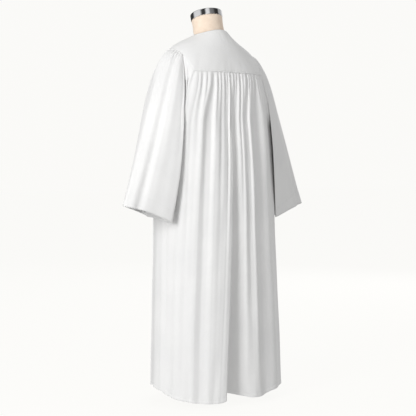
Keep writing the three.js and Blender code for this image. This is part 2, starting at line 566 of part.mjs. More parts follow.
// The armhole ring: over the yoke's edge, then down the back and up the front armhole edges
function armholeRing(side, yokeStretch, backPanel, frontPanel) {
  const ring = [];
  const fine = (yokeStretch.length - 1) * STEPS_PER_PUFF;
  const top = 1 - SLEEVE_TOP_SHARE;
  // From the front armhole point over the shoulder to the back one
  for (let k = 0; k <= fine; k += 1) {
    const at = 1 - k / fine;
    const vertex = edgeAt(yokeStretch, at);
    const here = 1 - at;
    const place = YOKE_SHARE * (here < top ? here / top - 1 : (here - top) / (1 - top));
    ring.push({ ...vertex, ring: (place + 1) % 1, gather: gatherWave(k / STEPS_PER_PUFF)
      * smooth(Math.min(k, fine - k) / 2) });
  }
  const column = (panel) => {
    const c = panel.column;
    return UPPER_ROWS.map((_, r) => ({ point: panel.outer[r][c], face: panel.faces[r][c] }));
  };
  const down = (panel, from, to, skipLast) => {
    const points = column(panel);
    const cloth = [];
    for (let r = 0; r < points.length - 1; r += 1) {
      for (const t of [0.5, 1]) {
        const share = (r + t) / (points.length - 1);
        cloth.push({
          point: points[r].point.clone().lerp(points[r + 1].point, t),
          face: points[r].face.clone().lerp(points[r + 1].face, t).normalize(),
          ring: mix(from, to, share), gather: 0,
        });
      }
    }
    if (skipLast) cloth.pop();
    return cloth;
  };
  const back = down(backPanel, YOKE_SHARE, 1 / 2, false);
  const front = down(frontPanel, 1 - YOKE_SHARE, 1 / 2, true);
  const all = [...ring, ...back, ...front.reverse()];
  all.forEach((vertex, i) => {
    if (vertex.across) return;
    const before = all[(i + all.length - 1) % all.length].point;
    const after = all[(i + 1) % all.length].point;
    const along = after.clone().sub(before).normalize();
    vertex.face = vertex.face.clone().addScaledVector(along, -vertex.face.dot(along)).normalize();
    vertex.across = new THREE.Vector3().crossVectors(along, vertex.face).multiplyScalar(side);
    const centre = new THREE.Vector3(side * 165, 10, 1050);
    if (vertex.across.dot(vertex.point.clone().sub(centre)) > 0) vertex.across.negate();
  });
  return all;
}

// Rings of points joined into a closed solid, with a flat fan at each end
function loft(rings) {
  const count = rings[0].length;
  const positions = rings.flat().flatMap((point) => point.toArray());
  const index = [];
  for (let r = 0; r < rings.length - 1; r += 1) {
    for (let c = 0; c < count; c += 1) {
      const a = r * count + c;
      const b = r * count + (c + 1) % count;
      index.push(a, b, b + count, a, b + count, a + count);
    }
  }
  for (const [ring, turn] of [[0, -1], [rings.length - 1, 1]]) {
    for (let c = 1; c < count - 1; c += 1) {
      const fan = [ring * count, ring * count + c, ring * count + c + 1];
      index.push(...(turn > 0 ? fan : fan.reverse()));
    }
  }
  return closedGeometry(positions, index);
}

function ringOf({ centre, halfWidth, halfDepth, square }, z, tilt = 0) {
  const ring = [];
  for (let k = 0; k < FORM_SIDES; k += 1) {
    const turn = 2 * Math.PI * k / FORM_SIDES;
    const side = Math.cos(turn);
    const depth = Math.sin(turn);
    const reach = (Math.abs(side) ** square + Math.abs(depth) ** square) ** (-1 / square);
    const y = halfDepth * reach * depth;
    ring.push(new THREE.Vector3(halfWidth * reach * side,
      centre + y * Math.cos(radians(tilt)), z + y * Math.sin(radians(tilt))));
  }
  return ring;
}

function dressForm() {
  const rings = FORM_LEVELS.map((level) => ringOf(level, level.z));
  const top = { centre: NECK_TOP.y, halfWidth: NECK_RADIUS, halfDepth: NECK_RADIUS, square: 2 };
  const base = FORM_LEVELS[FORM_LEVELS.length - 1];
  const half = { ...top, centre: mix(base.centre, NECK_TOP.y, 0.5) };
  rings.push(ringOf(half, mix(base.z, NECK_TOP.z, 0.5), NECK_TILT * 0.5));
  rings.push(ringOf(top, NECK_TOP.z, NECK_TILT));
  return loft(rings);
}

function neckCap() {
  const radius = NECK_RADIUS + CAP_OVERHANG;
  const axis = new THREE.Vector3(0, -Math.sin(radians(NECK_TILT)), Math.cos(radians(NECK_TILT)));
  const rings = [[radius, 0], [radius, CAP_HEIGHT - CAP_BEVEL], [radius - CAP_BEVEL, CAP_HEIGHT]];
  return loft(rings.map(([size, height]) => {
    const shape = { centre: NECK_TOP.y, halfWidth: size, halfDepth: size, square: 2 };
    return ringOf(shape, NECK_TOP.z, NECK_TILT).map(
      (point) => point.addScaledVector(axis, SEAM_GAP + height));
  }));
}

// A flat star: a round hub with tapering legs, all standing on the floor
function starBase() {
  const outline = new THREE.Shape();
  const tip = LEG_WIDTH * 0.36;
  const points = [];
  for (let leg = 0; leg < LEG_COUNT; leg += 1) {
    const turn = radians(LEG_TURN + leg * 360 / LEG_COUNT);
    const spread = Math.asin(LEG_WIDTH / 2 / HUB_RADIUS);
    const place = (along, aside) => [
      along * Math.cos(turn) - aside * Math.sin(turn),
      along * Math.sin(turn) + aside * Math.cos(turn)];
    points.push(place(HUB_RADIUS * Math.cos(spread), -LEG_WIDTH / 2));
    for (let k = 0; k <= 6; k += 1) {
      const round = Math.PI * (k / 6 - 0.5);
      points.push(place(LEG_LENGTH - tip + tip * Math.cos(round), tip * Math.sin(round)));
    }
    points.push(place(HUB_RADIUS * Math.cos(spread), LEG_WIDTH / 2));
  }
  points.forEach(([x, y], i) => (i ? outline.lineTo(x, y) : outline.moveTo(x, y)));
  outline.closePath();
  return new THREE.ExtrudeGeometry(outline, { depth: LEG_HEIGHT, bevelEnabled: false });
}

const robe = new THREE.Group();

function add(name, geometry, finish) {
  const mesh = new THREE.Mesh(geometry, new THREE.MeshStandardMaterial(finish));
  mesh.name = name;
  robe.add(mesh);
  return mesh;
}

// Yokes
const halfGap = SEAM_GAP / 2;
const backYokeEdge = [
  ...stretch(EDGE_LEFT, 'shoulder seam', 'centre back'),
  ...stretch(EDGE_RIGHT, 'centre back', 'shoulder seam').slice(1),
];
const alongY = (shift) => new THREE.Vector3(0, shift, 0);
const alongX = (shift) => new THREE.Vector3(shift, 0, 0);
add('back_yoke', clothWall(yokePiece(backYokeEdge, [alongY(halfGap), alongY(halfGap)])),
  WHITE_CLOTH);
for (const [name, edge, side] of [['left', EDGE_LEFT, 1], ['right', EDGE_RIGHT, -1]]) {
  const frontEdge = stretch(edge, 'shoulder seam', 'centre front');
  add(`front_yoke_${name}`, clothWall(
    yokePiece(frontEdge, [alongY(-halfGap), alongX(side * halfGap)])), WHITE_CLOTH);
}

// Gathered back and fronts
const backEdge = [
  ...stretch(EDGE_LEFT, 'back armhole', 'centre back'),
  ...stretch(EDGE_RIGHT, 'centre back', 'back armhole').slice(1),
];
const backPanel = gatheredPanel({
  edge: backEdge, folds: BACK_FOLDS, armholes: [ARMHOLE_BACK, ARMHOLE_BACK],
  reach: 0.16, mirror: false,
});
const frontPanels = [[EDGE_LEFT, false], [EDGE_RIGHT, true]].map(([edge, mirror]) => gatheredPanel({
  edge: stretch(edge, 'centre front', 'front armhole'), folds: FRONT_FOLDS,
  armholes: [null, ARMHOLE_FRONT], reach: 0.4, mirror,
}));

// Sleeves, hung on the armholes before the panels' side edges are cut back for the seam gap
SLEEVES.forEach((sleeve, which) => {
  const { name, side } = sleeve;
  const edge = which === 0 ? EDGE_LEFT : EDGE_RIGHT;
  const backColumn = which === 0 ? 0 : backPanel.outer[0].length - 1;
  const front = frontPanels[which];
  const ring = armholeRing(side, stretch(edge, 'back armhole', 'front armhole'),
    { ...backPanel, column: backColumn }, { ...front, column: front.outer[0].length - 1 });
  add(`sleeve_${name}`, clothWall({ ...sleevePiece(ring, sleeve), ring: true }), WHITE_CLOTH);
});

// Cut the side seams and the centre front back by half the gap
function cutBack(panel, column, shift, fromRow) {
  panel.outer.forEach((line, r) => {
    if (r >= fromRow) line[column].add(shift);
  });
}
const underarmRow = UPPER_ROWS.length - 1;
cutBack(backPanel, 0, alongY(halfGap), underarmRow);
cutBack(backPanel, backPanel.outer[0].length - 1, alongY(halfGap), underarmRow);
frontPanels.forEach((panel, i) => {
  cutBack(panel, panel.outer[0].length - 1, alongY(-halfGap), underarmRow);
  cutBack(panel, 0, alongX(i === 0 ? halfGap : -halfGap), 0);
});
add('back_panel', clothWall(backPanel), WHITE_CLOTH);
add('front_panel_left', clothWall(frontPanels[0]), WHITE_CLOTH);
add('front_panel_right', clothWall(frontPanels[1]), WHITE_CLOTH);

// The dress form and its stand
add('form_torso', dressForm(), LINEN);
add('neck_cap', neckCap(), CHROME);
add('stand_base', starBase(), STEEL);
const poleBottom = LEG_HEIGHT + SEAM_GAP;
const poleTop = FORM_LEVELS[0].z - SEAM_GAP;
const pole = new THREE.CylinderGeometry(POLE_RADIUS, POLE_RADIUS, poleTop - poleBottom, 24);
pole.rotateX(Math.PI / 2);
add('stand_pole', pole, STEEL).position.z = (poleTop + poleBottom) / 2;

export default robe;
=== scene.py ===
# A plain white choir robe on a limbless dress form. Sizes are millimetres in the garment's own
# frame, with +Z up, +X at the wearer's left and +Y at the back.
import math

import bpy
import numpy as np
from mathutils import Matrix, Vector


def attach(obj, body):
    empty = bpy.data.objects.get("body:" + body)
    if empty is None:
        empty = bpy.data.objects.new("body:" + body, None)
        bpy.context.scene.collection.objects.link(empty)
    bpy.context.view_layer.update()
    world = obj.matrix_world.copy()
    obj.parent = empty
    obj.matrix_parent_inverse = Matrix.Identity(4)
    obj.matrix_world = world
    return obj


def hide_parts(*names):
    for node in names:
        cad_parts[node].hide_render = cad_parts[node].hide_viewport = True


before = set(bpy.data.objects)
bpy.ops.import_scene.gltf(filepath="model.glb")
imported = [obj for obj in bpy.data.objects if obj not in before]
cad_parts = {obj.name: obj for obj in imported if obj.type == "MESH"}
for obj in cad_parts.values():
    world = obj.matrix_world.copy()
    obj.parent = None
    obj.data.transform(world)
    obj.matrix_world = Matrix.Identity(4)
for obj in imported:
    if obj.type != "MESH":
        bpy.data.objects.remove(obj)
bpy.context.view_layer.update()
MM = 0.001

# Camera: behind the wearer's left, a little above half the robe's height
CAMERA_TURN = 37.0        # degrees from straight behind, towards the wearer's left
CAMERA_DISTANCE = 3.6
CAMERA_HEIGHT = 0.78
CAMERA_PITCH = 2.2        # degrees down
CAMERA_LENS, SENSOR_WIDTH = 90.3, 36
CAMERA_SHIFT = (-0.0036, 0.0034)
away = (math.sin(math.radians(CAMERA_TURN)), math.cos(math.radians(CAMERA_TURN)))
camera = bpy.data.objects.new("camera", bpy.data.cameras.new("camera"))
bpy.context.scene.collection.objects.link(camera)
camera.location = (away[0] * CAMERA_DISTANCE, away[1] * CAMERA_DISTANCE, CAMERA_HEIGHT)
camera.rotation_euler = (
    math.radians(90 - CAMERA_PITCH), 0, math.radians(180 - CAMERA_TURN))
camera.data.lens, camera.data.sensor_width = CAMERA_LENS, SENSOR_WIDTH
camera.data.shift_x, camera.data.shift_y = CAMERA_SHIFT
bpy.context.scene.camera = camera


def table(names, *rows):
    """Rows of numbers as a dict of columns, by the names of the columns."""
    return dict(zip(names.split(), np.array(rows, float).T))


CLOTH = 1.1                   # thickness of the cloth
SEAM_GAP = 0.3
UNDERARM_Z = 930
HEM_Z = 12
GATHER_STRENGTH = 2.0         # times the depth that the tables of gathers give
SLEEVE_GATHER_STRENGTH = 2.4
TROUGH_STRENGTH = 2.1
GATHER_FULL = 22              # distance below the seam at which a gather is fullest
BACK_GATHER_COUNT, BACK_STEPS = 26, 14        # gathers along the seam, columns for each
FRONT_GATHER_COUNT, FRONT_STEPS = 15, 11
SLEEVE_GATHER_COUNT = 11
SLEEVE_LENGTH = 560           # down the cloth, from the armhole to the cuff

BODY_LEVELS = table(
    "z half_width back front centre square",
    (0, 241, 185, 188, 42, 2.2), (300, 232, 173, 178, 37, 2.2), (560, 224, 163, 167, 31, 2.2),
    (800, 217, 153, 154, 24, 2.4), (930, 206, 146, 143, 15, 2.8), (1015, 194, 140, 132, 8, 3.1),
    (1102, 165, 132, 118, 0, 3.7))
HEM_RISE = table(
    "turn rise",
    (-90, 12), (-40, 32), (-20, 44), (0, 39), (10, 29), (20, 21), (30, 15), (45, 8), (60, 7),
    (67, 11), (72, 22), (80, 22), (88, 16), (96, 9), (108, 10), (118, 20), (130, 25), (150, 24),
    (180, 39))

# The yoke's edge from the centre back to the centre front, with the bulge of each stretch
YOKE_EDGE = [
    dict(name="centre back", at=(0, 132, 1102), lean=14, gathers=0, bulge=(0, 0, 0)),
    dict(name="back corner", at=(143.5, 105, 1102), lean=16, gathers=10, bulge=(0, 11, 0)),
    dict(name="back armhole", at=(153.5, 58, 1158), lean=34, gathers=3, bulge=(2, 0, 7)),
    dict(name="shoulder seam", at=(160, -12, 1182), lean=50, gathers=7, bulge=(3, 2, 9)),
    dict(name="front armhole", at=(152, -54, 1150), lean=34, gathers=4, bulge=(2, 0, 6)),
    dict(name="front corner", at=(138, -92, 1102), lean=16, gathers=3, bulge=(2, 0, 4)),
    dict(name="centre front", at=(0, -118, 1102), lean=14, gathers=8, bulge=(0, -9, 0)),
]
YOKE_HALF_WIDTH, YOKE_HALF_DEPTH = 165, 130
YOKE_FAN = (150, 110)         # half width and half depth of the fan from the neckline to the edge
SHOULDER_START, SHOULDER_BLEND = 130, 20      # where the edge turns to face sideways
NECKLINE = dict(half_width=61, back=61, front=78, centre=3, back_z=1252, side_z=1238, dip=62)

BACK_FOLDS = table(
    "at turn_arm turn_mid turn_hem sink_arm sink_mid sink_hem",
    (0.0, 0, 0, 0, 0, 0, 0), (0.06, 17, 14, 12, 1, 5, 4), (0.12, 34, 26, 22, 0, 0, 0),
    (0.2, 48, 39, 34, 3, 2, 3), (0.24, 53, 45, 39, 0, 0, 0), (0.277, 58, 51, 45, 8, 9, 7),
    (0.33, 66, 59, 53, 0, 0, 0), (0.41, 77, 70, 61, 4, 1, 0), (0.45, 81, 75, 66, 0, 0, 0),
    (0.465, 82.9, 77.6, 68.6, 0, 3, 6), (0.482, 84.2, 78.9, 69.6, 12, 27, 44),
    (0.51, 87, 83, 74, 17, 40, 80),
    (0.55, 91, 88, 83, 4, 20, 55), (0.59, 95, 93, 91, 0, 8, 30),
    (0.634, 99.5, 98.5, 98, 8, 11, 16), (0.68, 104, 103.5, 103.5, 0, 3, 13),
    (0.737, 111, 110, 111, 13, 15, 17), (0.8, 124, 124, 124, 0, 0, 2),
    (0.85, 136, 138, 139, 5, 5, 8), (0.9, 148, 150, 152, 0, 0, 0),
    (0.95, 163, 165, 166, 1, 4, 6), (1.0, 180, 180, 180, 0, 0, 0))
FRONT_FOLDS = table(
    "at turn_arm turn_mid turn_hem sink_arm sink_mid sink_hem",
    (0.0, -90, -90, -90, 0, 0, 0), (0.14, -80, -80, -80, 0, 0, 0),
    (0.26, -71, -71, -72, 9, 14, 22), (0.38, -61, -61, -63, 0, 0, 0),
    (0.5, -51, -50, -52, 6, 9, 14), (0.62, -40, -38, -40, 0, 0, 0),
    (0.76, -26, -24, -25, 4, 6, 8), (0.88, -13, -12, -12, 0, 0, 0), (1.0, 0, 0, 0, 0, 0, 0))

ARMHOLE_BACK = table(
    "down x y", (0, 153.5, 58), (0.2, 158, 73), (0.4, 163, 84), (0.6, 170, 86), (0.8, 184, 66),
    (1, 206, 15))
ARMHOLE_FRONT = table(
    "down x y", (0, 152, -54), (0.2, 156, -66), (0.4, 161, -72), (0.6, 169, -68),
    (0.8, 183, -44), (1, 206, 15))
UPPER_ROWS = (0, 0.08, 0.22, 0.45, 0.72, 1)

# Lines down the left sleeve, eight round it from the shoulder over the back: spring, fall, cuff
SLEEVE_LINES = np.array([
    [(224, 8, 1178), (258, 24, 1000), (380, 47, 662)],
    [(200, 80, 1140), (238, 108, 940), (318, 90, 640)],
    [(188, 114, 1030), (194, 136, 820), (238, 112, 598)],
    [(208, 110, 990), (226, 98, 790), (242, 72, 600)],
    [(240, 14, 912), (234, 22, 740), (239, 26, 607)],
    [(214, -98, 1000), (228, -76, 790), (242, -20, 614)],
    [(192, -120, 1044), (198, -122, 820), (240, -58, 625)],
    [(200, -84, 1134), (238, -78, 940), (318, -30, 652)]], float)
YOKE_SHARE = 1 / 8
SLEEVE_TOP_SHARE = 5 / 11
CUFF_TOP_Z, CUFF_LOW_Z = 662, 598
# Side, how far out the head stands, lift of the cuff, and whether its rear edge is tucked in
SLEEVES = (("left", 1, 0, 12, 0), ("right", -1, 11, 18, 1))
TUCK = dict(ring=0.25, width=0.17, shift=((-4, 9, 0), (-34, 12, 0), (-33, 8, 0)))

# Soft folds down a sleeve: place round it, half width, depth at the head, elbow and cuff
SLEEVE_FOLDS = table(
    "ring width head elbow cuff",
    (0.085, 0.020, 3, 11, 8), (0.17, 0.030, 0, 3, 2), (0.93, 0.030, 2, 8, 6),
    (0.82, 0.035, 0, 5, 1.5), (0.035, 0.016, 1.5, 3.5, 1.5), (0.125, 0.014, 1.5, 2.5, 0.5),
    (0.215, 0.018, 1, 1.8, 0.8), (0.40, 0.03, 0, 3, 1), (0.58, 0.03, 0, 3, 1),
    (0.975, 0.016, 1.5, 3, 1), (0.88, 0.016, 1, 2.5, 1))

# Valleys of the gathers on the back, by the count of gathers from the left armhole: depth, half
# width, how far down they reach in millimetres, and how far they drift sideways on the way
BACK_GATHERS = table(
    "count depth width reach drift",
    (0.55, 2.0, 0.26, 60, 0.2), (1.45, 2.6, 0.30, 90, 0.3), (2.35, 2.0, 0.24, 60, 0.2),
    (3.3, 2.4, 0.26, 80, 0.1), (4.1, 1.8, 0.22, 55, 0.1), (5.0, 3.4, 0.28, 120, 0.2),
    (6.15, 2.0, 0.22, 70, 0.0), (7.5, 4.0, 0.34, 210, 0.1), (8.7, 3.4, 0.26, 130, 0.1),
    (9.5, 2.0, 0.22, 80, 0.0), (10.55, 3.6, 0.28, 170, 0.1), (11.3, 1.8, 0.20, 60, 0.0),
    (12.1, 3.6, 0.28, 200, 0.0), (13.2, 2.2, 0.22, 110, 0.0), (14.0, 3.2, 0.26, 150, -0.1),
    (14.9, 3.8, 0.30, 150, 0.1), (15.8, 2.0, 0.22, 60, 0.0), (16.9, 3.6, 0.28, 160, 0.1),
    (17.8, 2.0, 0.22, 70, 0.0), (18.7, 2.2, 0.24, 60, 0.0), (19.7, 3.8, 0.30, 180, 0.1),
    (20.8, 2.0, 0.22, 70, 0.0), (21.6, 2.4, 0.24, 60, 0.1), (22.6, 3.8, 0.30, 190, -0.1),
    (23.6, 2.2, 0.24, 70, -0.1), (24.5, 3.0, 0.30, 120, -0.2), (25.4, 2.0, 0.26, 60, -0.2))
FRONT_GATHERS = table(
    "count depth width reach drift",
    (0.6, 2.2, 0.26, 80, 0), (1.5, 3.2, 0.28, 150, 0), (2.4, 2.2, 0.24, 80, 0.1),
    (3.5, 3.6, 0.30, 180, 0.1), (4.4, 2.0, 0.22, 70, 0), (5.4, 3.0, 0.28, 140, 0.1),
    (6.4, 2.4, 0.24, 90, 0.1), (7.4, 3.4, 0.30, 160, 0.1), (8.5, 2.2, 0.26, 80, 0.1),
    (9.5, 2.6, 0.28, 90, 0), (10.4, 2.0, 0.26, 60, -0.1), (11.4, 2.2, 0.26, 60, -0.1),
    (12.4, 2.2, 0.26, 60, -0.1), (13.4, 2.4, 0.28, 80, -0.1), (14.4, 2.0, 0.26, 60, -0.1))
SLEEVE_GATHERS = table(
    "count depth width reach drift",
    (0.6, 2.2, 0.22, 80, 0), (1.5, 2.8, 0.24, 130, 0), (2.3, 2.2, 0.20, 70, 0),
    (3.1, 3.2, 0.26, 150, 0.2), (4.0, 2.4, 0.20, 70, 0), (4.8, 3.4, 0.26, 190, 0.2),
    (5.6, 2.4, 0.20, 80, 0), (6.4, 3.4, 0.26, 170, 0.2), (7.2, 2.4, 0.20, 80, 0),
    (8.0, 3.2, 0.24, 150, 0), (8.8, 2.4, 0.20, 80, 0.1), (9.6, 3.0, 0.24, 120, 0.1),
    (10.4, 2.2, 0.22, 70, 0))
# Long soft troughs of the back: place along the panel at the underarm and at the hem, half width,
# and depth at the seam, underarm, middle and hem
BACK_TROUGHS = table(
    "arm hem width top_d arm_d mid_d hem_d",
    (0.035, 0.03, 0.008, 0, 1.2, 2.2, 1.0), (0.09, 0.085, 0.010, 0, 1.5, 1.0, 0.6),
    (0.165, 0.17, 0.009, 0, 1.8, 1.2, 0.5), (0.305, 0.30, 0.008, 0.5, 1.6, 0.8, 0.2),
    (0.375, 0.37, 0.010, 0.6, 2.6, 1.2, 0.4), (0.43, 0.425, 0.006, 0.8, 1.8, 1.2, 0.6),
    (0.462, 0.455, 0.006, 0.4, 1.6, 1.4, 0.6), (0.575, 0.58, 0.008, 0.6, 1.6, 1.6, 1.2),
    (0.66, 0.655, 0.007, 0.8, 1.4, 0.8, 0.4), (0.71, 0.705, 0.007, 0.6, 1.4, 0.8, 0.4),
    (0.77, 0.775, 0.009, 0.4, 1.8, 1.4, 0.8), (0.825, 0.83, 0.009, 0, 1.4, 1.0, 0.6),
    (0.875, 0.88, 0.010, 0, 1.6, 1.0, 0.6), (0.925, 0.93, 0.010, 0, 1.4, 1.2, 0.6))
FRONT_TROUGHS = table(
    "arm hem width top_d arm_d mid_d hem_d",
    (0.07, 0.07, 0.02, 0, 1.2, 0.8, 0.4), (0.19, 0.18, 0.02, 0.5, 1.8, 1.2, 0.6),
    (0.32, 0.33, 0.02, 0.6, 1.8, 1.2, 0.6), (0.44, 0.44, 0.02, 0.5, 1.6, 1.2, 0.6),
    (0.57, 0.56, 0.02, 0.4, 1.8, 1.2, 0.6), (0.69, 0.70, 0.02, 0, 1.6, 1.2, 0.8),
    (0.83, 0.82, 0.02, 0, 1.6, 1.4, 0.8))
# Soft wrinkles of the back yoke: from and to, each as a place along the edge (0 the left
# shoulder, 1 the right) and down the yoke (0 the neckline, 1 the seam), half width and depth
YOKE_WRINKLES = table(
    "at0 down0 at1 down1 width depth",
    (0.56, 0.03, 0.555, 0.30, 0.026, 0.45), (0.365, 0.74, 0.345, 0.99, 0.017, 0.5),
    (0.42, 0.80, 0.405, 0.99, 0.014, 0.4), (0.47, 0.70, 0.455, 0.99, 0.017, 0.5),
    (0.525, 0.82, 0.515, 0.99, 0.013, 0.4), (0.58, 0.72, 0.575, 0.99, 0.017, 0.5),
    (0.635, 0.80, 0.64, 0.99, 0.014, 0.4), (0.685, 0.74, 0.695, 0.99, 0.017, 0.5),
    (0.20, 0.40, 0.10, 0.95, 0.024, 0.4), (0.80, 0.40, 0.90, 0.95, 0.024, 0.4),
    (0.45, 0.10, 0.46, 0.30, 0.018, 0.4))

FORM_LEVELS = table(
    "z centre half_width half_depth square",
    (522, 4, 128, 86, 2.2), (532, 4, 150, 103, 2.2), (570, 5, 164, 112, 2.2),
    (640, 6, 168, 114, 2.2), (740, 4, 152, 102, 2.2), (830, 0, 128, 88, 2.1),
    (900, -2, 126, 88, 2.1), (980, -4, 140, 102, 2.2), (1050, -4, 149, 104, 2.4),
    (1110, 2, 151, 88, 2.5), (1150, 6, 149, 64, 2.4), (1178, 6, 148, 50, 2.3),
    (1195.8, 6, 140, 43, 2.2), (1205.8, 6, 123, 41, 2.1), (1217, 6, 98, 42, 2),
    (1227, 6.5, 69, 44.5, 2), (1236, 1, 57, 50, 2), (1248, -3, 55, 53, 2))
NECK_RADIUS = 53.5
NECK_TOP = (-15, 1295)
NECK_TILT = 14
CAP_HEIGHT = 22
CAP_OVERHANG = 1.2


# Small maths
def mix(a, b, t):
    return a + (b - a) * t


def smooth(t):
    t = np.clip(t, 0, 1)
    return t * t * (3 - 2 * t)


def unit(v):
    return v / np.maximum(np.linalg.norm(v, axis=-1, keepdims=True), 1e-9)


def vec(x, y, z):
    return np.stack(np.broadcast_arrays(x, y, z), axis=-1).astype(float)


def through(tab, key, column, at):
    """Smooth curve through one column of a table, against another."""
    x, y = tab[key], tab[column]
    last = len(x) - 1
    lo, hi = np.maximum(np.arange(last + 1) - 1, 0), np.minimum(np.arange(last + 1) + 1, last)
    slope = (y[hi] - y[lo]) / (x[hi] - x[lo])
    i = np.clip(np.searchsorted(x, at, side="left") - 1, 0, last - 1)
    span = x[i + 1] - x[i]
    t = np.clip((at - x[i]) / span, 0, 1)
    return ((2 * t**3 - 3 * t**2 + 1) * y[i] + (t**3 - 2 * t**2 + t) * span * slope[i]
            + (3 * t**2 - 2 * t**3) * y[i + 1] + (t**3 - t**2) * span * slope[i + 1])


def hermite(start, leave, end, arrive, t):
    return (start * (2 * t**3 - 3 * t**2 + 1) + leave * (t**3 - 2 * t**2 + t)
            + end * (3 * t**2 - 2 * t**3) + arrive * (t**3 - t**2))


def grid_faces(points, ring=False):
    """Unit direction square to a grid of points, from its neighbours."""
    across = np.gradient(points, axis=1)
    if ring:
        across = (np.roll(points, -1, 1) - np.roll(points, 1, 1)) / 2
    return unit(np.cross(across, np.gradient(points, axis=0)))


def outward(points, faces, centre):
    """The faces, turned as a whole to point away from a centre."""
    if np.sum(faces * (points - np.array(centre, float))) < 0:
        return -faces
    return faces


# The robe's body
def body_outline(z, turn):
    square = through(BODY_LEVELS, "z", "square", z)
    side, depth = np.cos(np.radians(turn)), np.sin(np.radians(turn))
    reach = (np.abs(side) ** square + np.abs(depth) ** square) ** (-1 / square)
    half_depth = np.where(depth >= 0, through(BODY_LEVELS, "z", "back", z),
                          through(BODY_LEVELS, "z", "front", z))
    half_width = through(BODY_LEVELS, "z", "half_width", z)
    point = vec(half_width * reach * side,
                through(BODY_LEVELS, "z", "centre", z) + half_depth * reach * depth, z)
    normal = vec(np.sign(side) * np.abs(side) ** (square - 1) / half_width,
                 np.sign(depth) * np.abs(depth) ** (square - 1) / half_depth, 0 * reach)
    return point, unit(normal)


def yoke_edge(side, fine=8):
    """The yoke's edge on one side: point, face and across at fine steps, and named places."""
    points, leans, names = [], [], {"centre back": 0}
    for before, here in zip(YOKE_EDGE, YOKE_EDGE[1:]):
        steps = here["gathers"] * fine
        t = np.arange(0 if len(points) == 0 else 1, steps + 1) / steps
        a, b, bulge = (np.array(v, float) for v in (before["at"], here["at"], here["bulge"]))
        points.extend(mix(a, b, t[:, None]) + bulge * (4 * t * (1 - t))[:, None])
        leans.extend(mix(before["lean"], here["lean"], t))
        names[here["name"]] = len(points) - 1
    points, leans = np.array(points), np.radians(leans)
    points[:, 0] *= side
    last = len(points) - 1
    index = np.arange(last + 1)
    along = points[np.minimum(index + fine, last)] - points[np.maximum(index - fine, 0)]
    for end in (0, last):
        fade = np.clip(1 - np.abs(index - end) / fine, 0, 1)[:, None]
        along = mix(unit(along), np.array([side, 0, 0.0]), fade)
    along = unit(along)
    broad = vec(points[:, 0] / YOKE_HALF_WIDTH**2, points[:, 1] / YOKE_HALF_DEPTH**2, 0 * index)
    steep = vec(side + 0 * index, 0.45 * points[:, 1] / 100, 0 * index)
    sideways = smooth((np.abs(points[:, 0]) - SHOULDER_START) / SHOULDER_BLEND)[:, None]
    out = mix(unit(broad), unit(steep), sideways)
    out = unit(out) * np.cos(leans)[:, None]
    out[:, 2] = np.sin(leans)
    out = unit(out - along * np.sum(out * along, axis=1, keepdims=True))
    across = unit(np.cross(along, out))
    across *= np.where(across[:, 2] > 0, -1, 1)[:, None]
    return dict(point=points, face=out, across=across, names=names)


EDGES = {1: yoke_edge(1), -1: yoke_edge(-1)}


def stretch(edge, start, end):
    a, b = edge["names"][start], edge["names"][end]
    order = np.arange(a, b + 1) if a <= b else np.arange(a, b - 1, -1)
    return {k: edge[k][order] for k in ("point", "face", "across")}


def joined(first, second):
    return {k: np.concatenate([first[k], second[k][1:]]) for k in first}


def edge_at(edge, at):
    scaled = np.clip(at, 0, 1) * (len(edge["point"]) - 1)
    index = np.arange(len(edge["point"]))
    return {k: np.stack([np.interp(scaled, index, edge[k][:, axis]) for axis in range(3)], -1)
            for k in edge}


def fall_of(folds, column, at, down, middle=0.42):
    arm, mid, hem = (through(folds, "at", f"{column}_{k}", at) for k in ("arm", "mid", "hem"))
    return (arm * (down - middle) * (down - 1) / middle
            + mid * down * (1 - down) / (middle * (1 - middle))
            + hem * down * (down - middle) / (1 - middle))


def lower_cloth(folds, at, down):
    turn = fall_of(folds, "turn", at, down)
    z = mix(UNDERARM_Z, HEM_Z + through(HEM_RISE, "turn", "rise", turn), down)
    point, normal = body_outline(z, turn)
    return point - normal * np.maximum(0, fall_of(folds, "sink", at, down))[..., None]


def gather_relief(gathers, count, below, strength=GATHER_STRENGTH):
    """Sunk depth of the gathers at a count along the seam and a distance below it."""
    relief = 0 * (count + below)
    for place, depth, width, reach, drift in zip(*(gathers[k] for k in gathers)):
        depth, width, reach = depth * strength, width * 1.2, reach * 1.25
        offset = (count - place - drift * below / 100) / (width * (1 + below / 260))
        rise = mix(0.25, 1, smooth(below / GATHER_FULL))
        fade = np.exp(-((np.maximum(0, below - GATHER_FULL) / reach) ** 1.6))
        relief = relief - depth * rise * fade * np.exp(-offset**2)
    fullness = 1.3 * mix(0.3, 1, smooth(below / GATHER_FULL)) * np.exp(-((below / 150) ** 2))
    return relief + fullness


def uneven(u, v):
    """Slow, shallow unevenness of hanging cloth; u and v are in millimetres on the cloth."""
    return (0.55 * np.sin(u / 31 + 0.9 * np.sin(v / 130)) * np.sin(v / 83 + 1.3)
            + 0.40 * np.sin(u / 17 + v / 210 + 1.1 * np.sin(v / 97 + 2))
            + 0.25 * np.sin(v / 37 + u / 60 + np.sin(u / 45)))


def hem_relief(above, along, band=11.0, pucker=9.0):
    """The turned-up hem: a shallow sewn groove and thicker cloth below it."""
    groove = np.exp(-((above - band) / 2.2) ** 2)
    return (0.45 * smooth((band - above) / 2 + 0.5) - 0.5 * groove
            + 0.14 * np.sin(along / pucker + 2 * np.sin(along / 43)) * np.exp(
                -((above - band) / 9) ** 2))


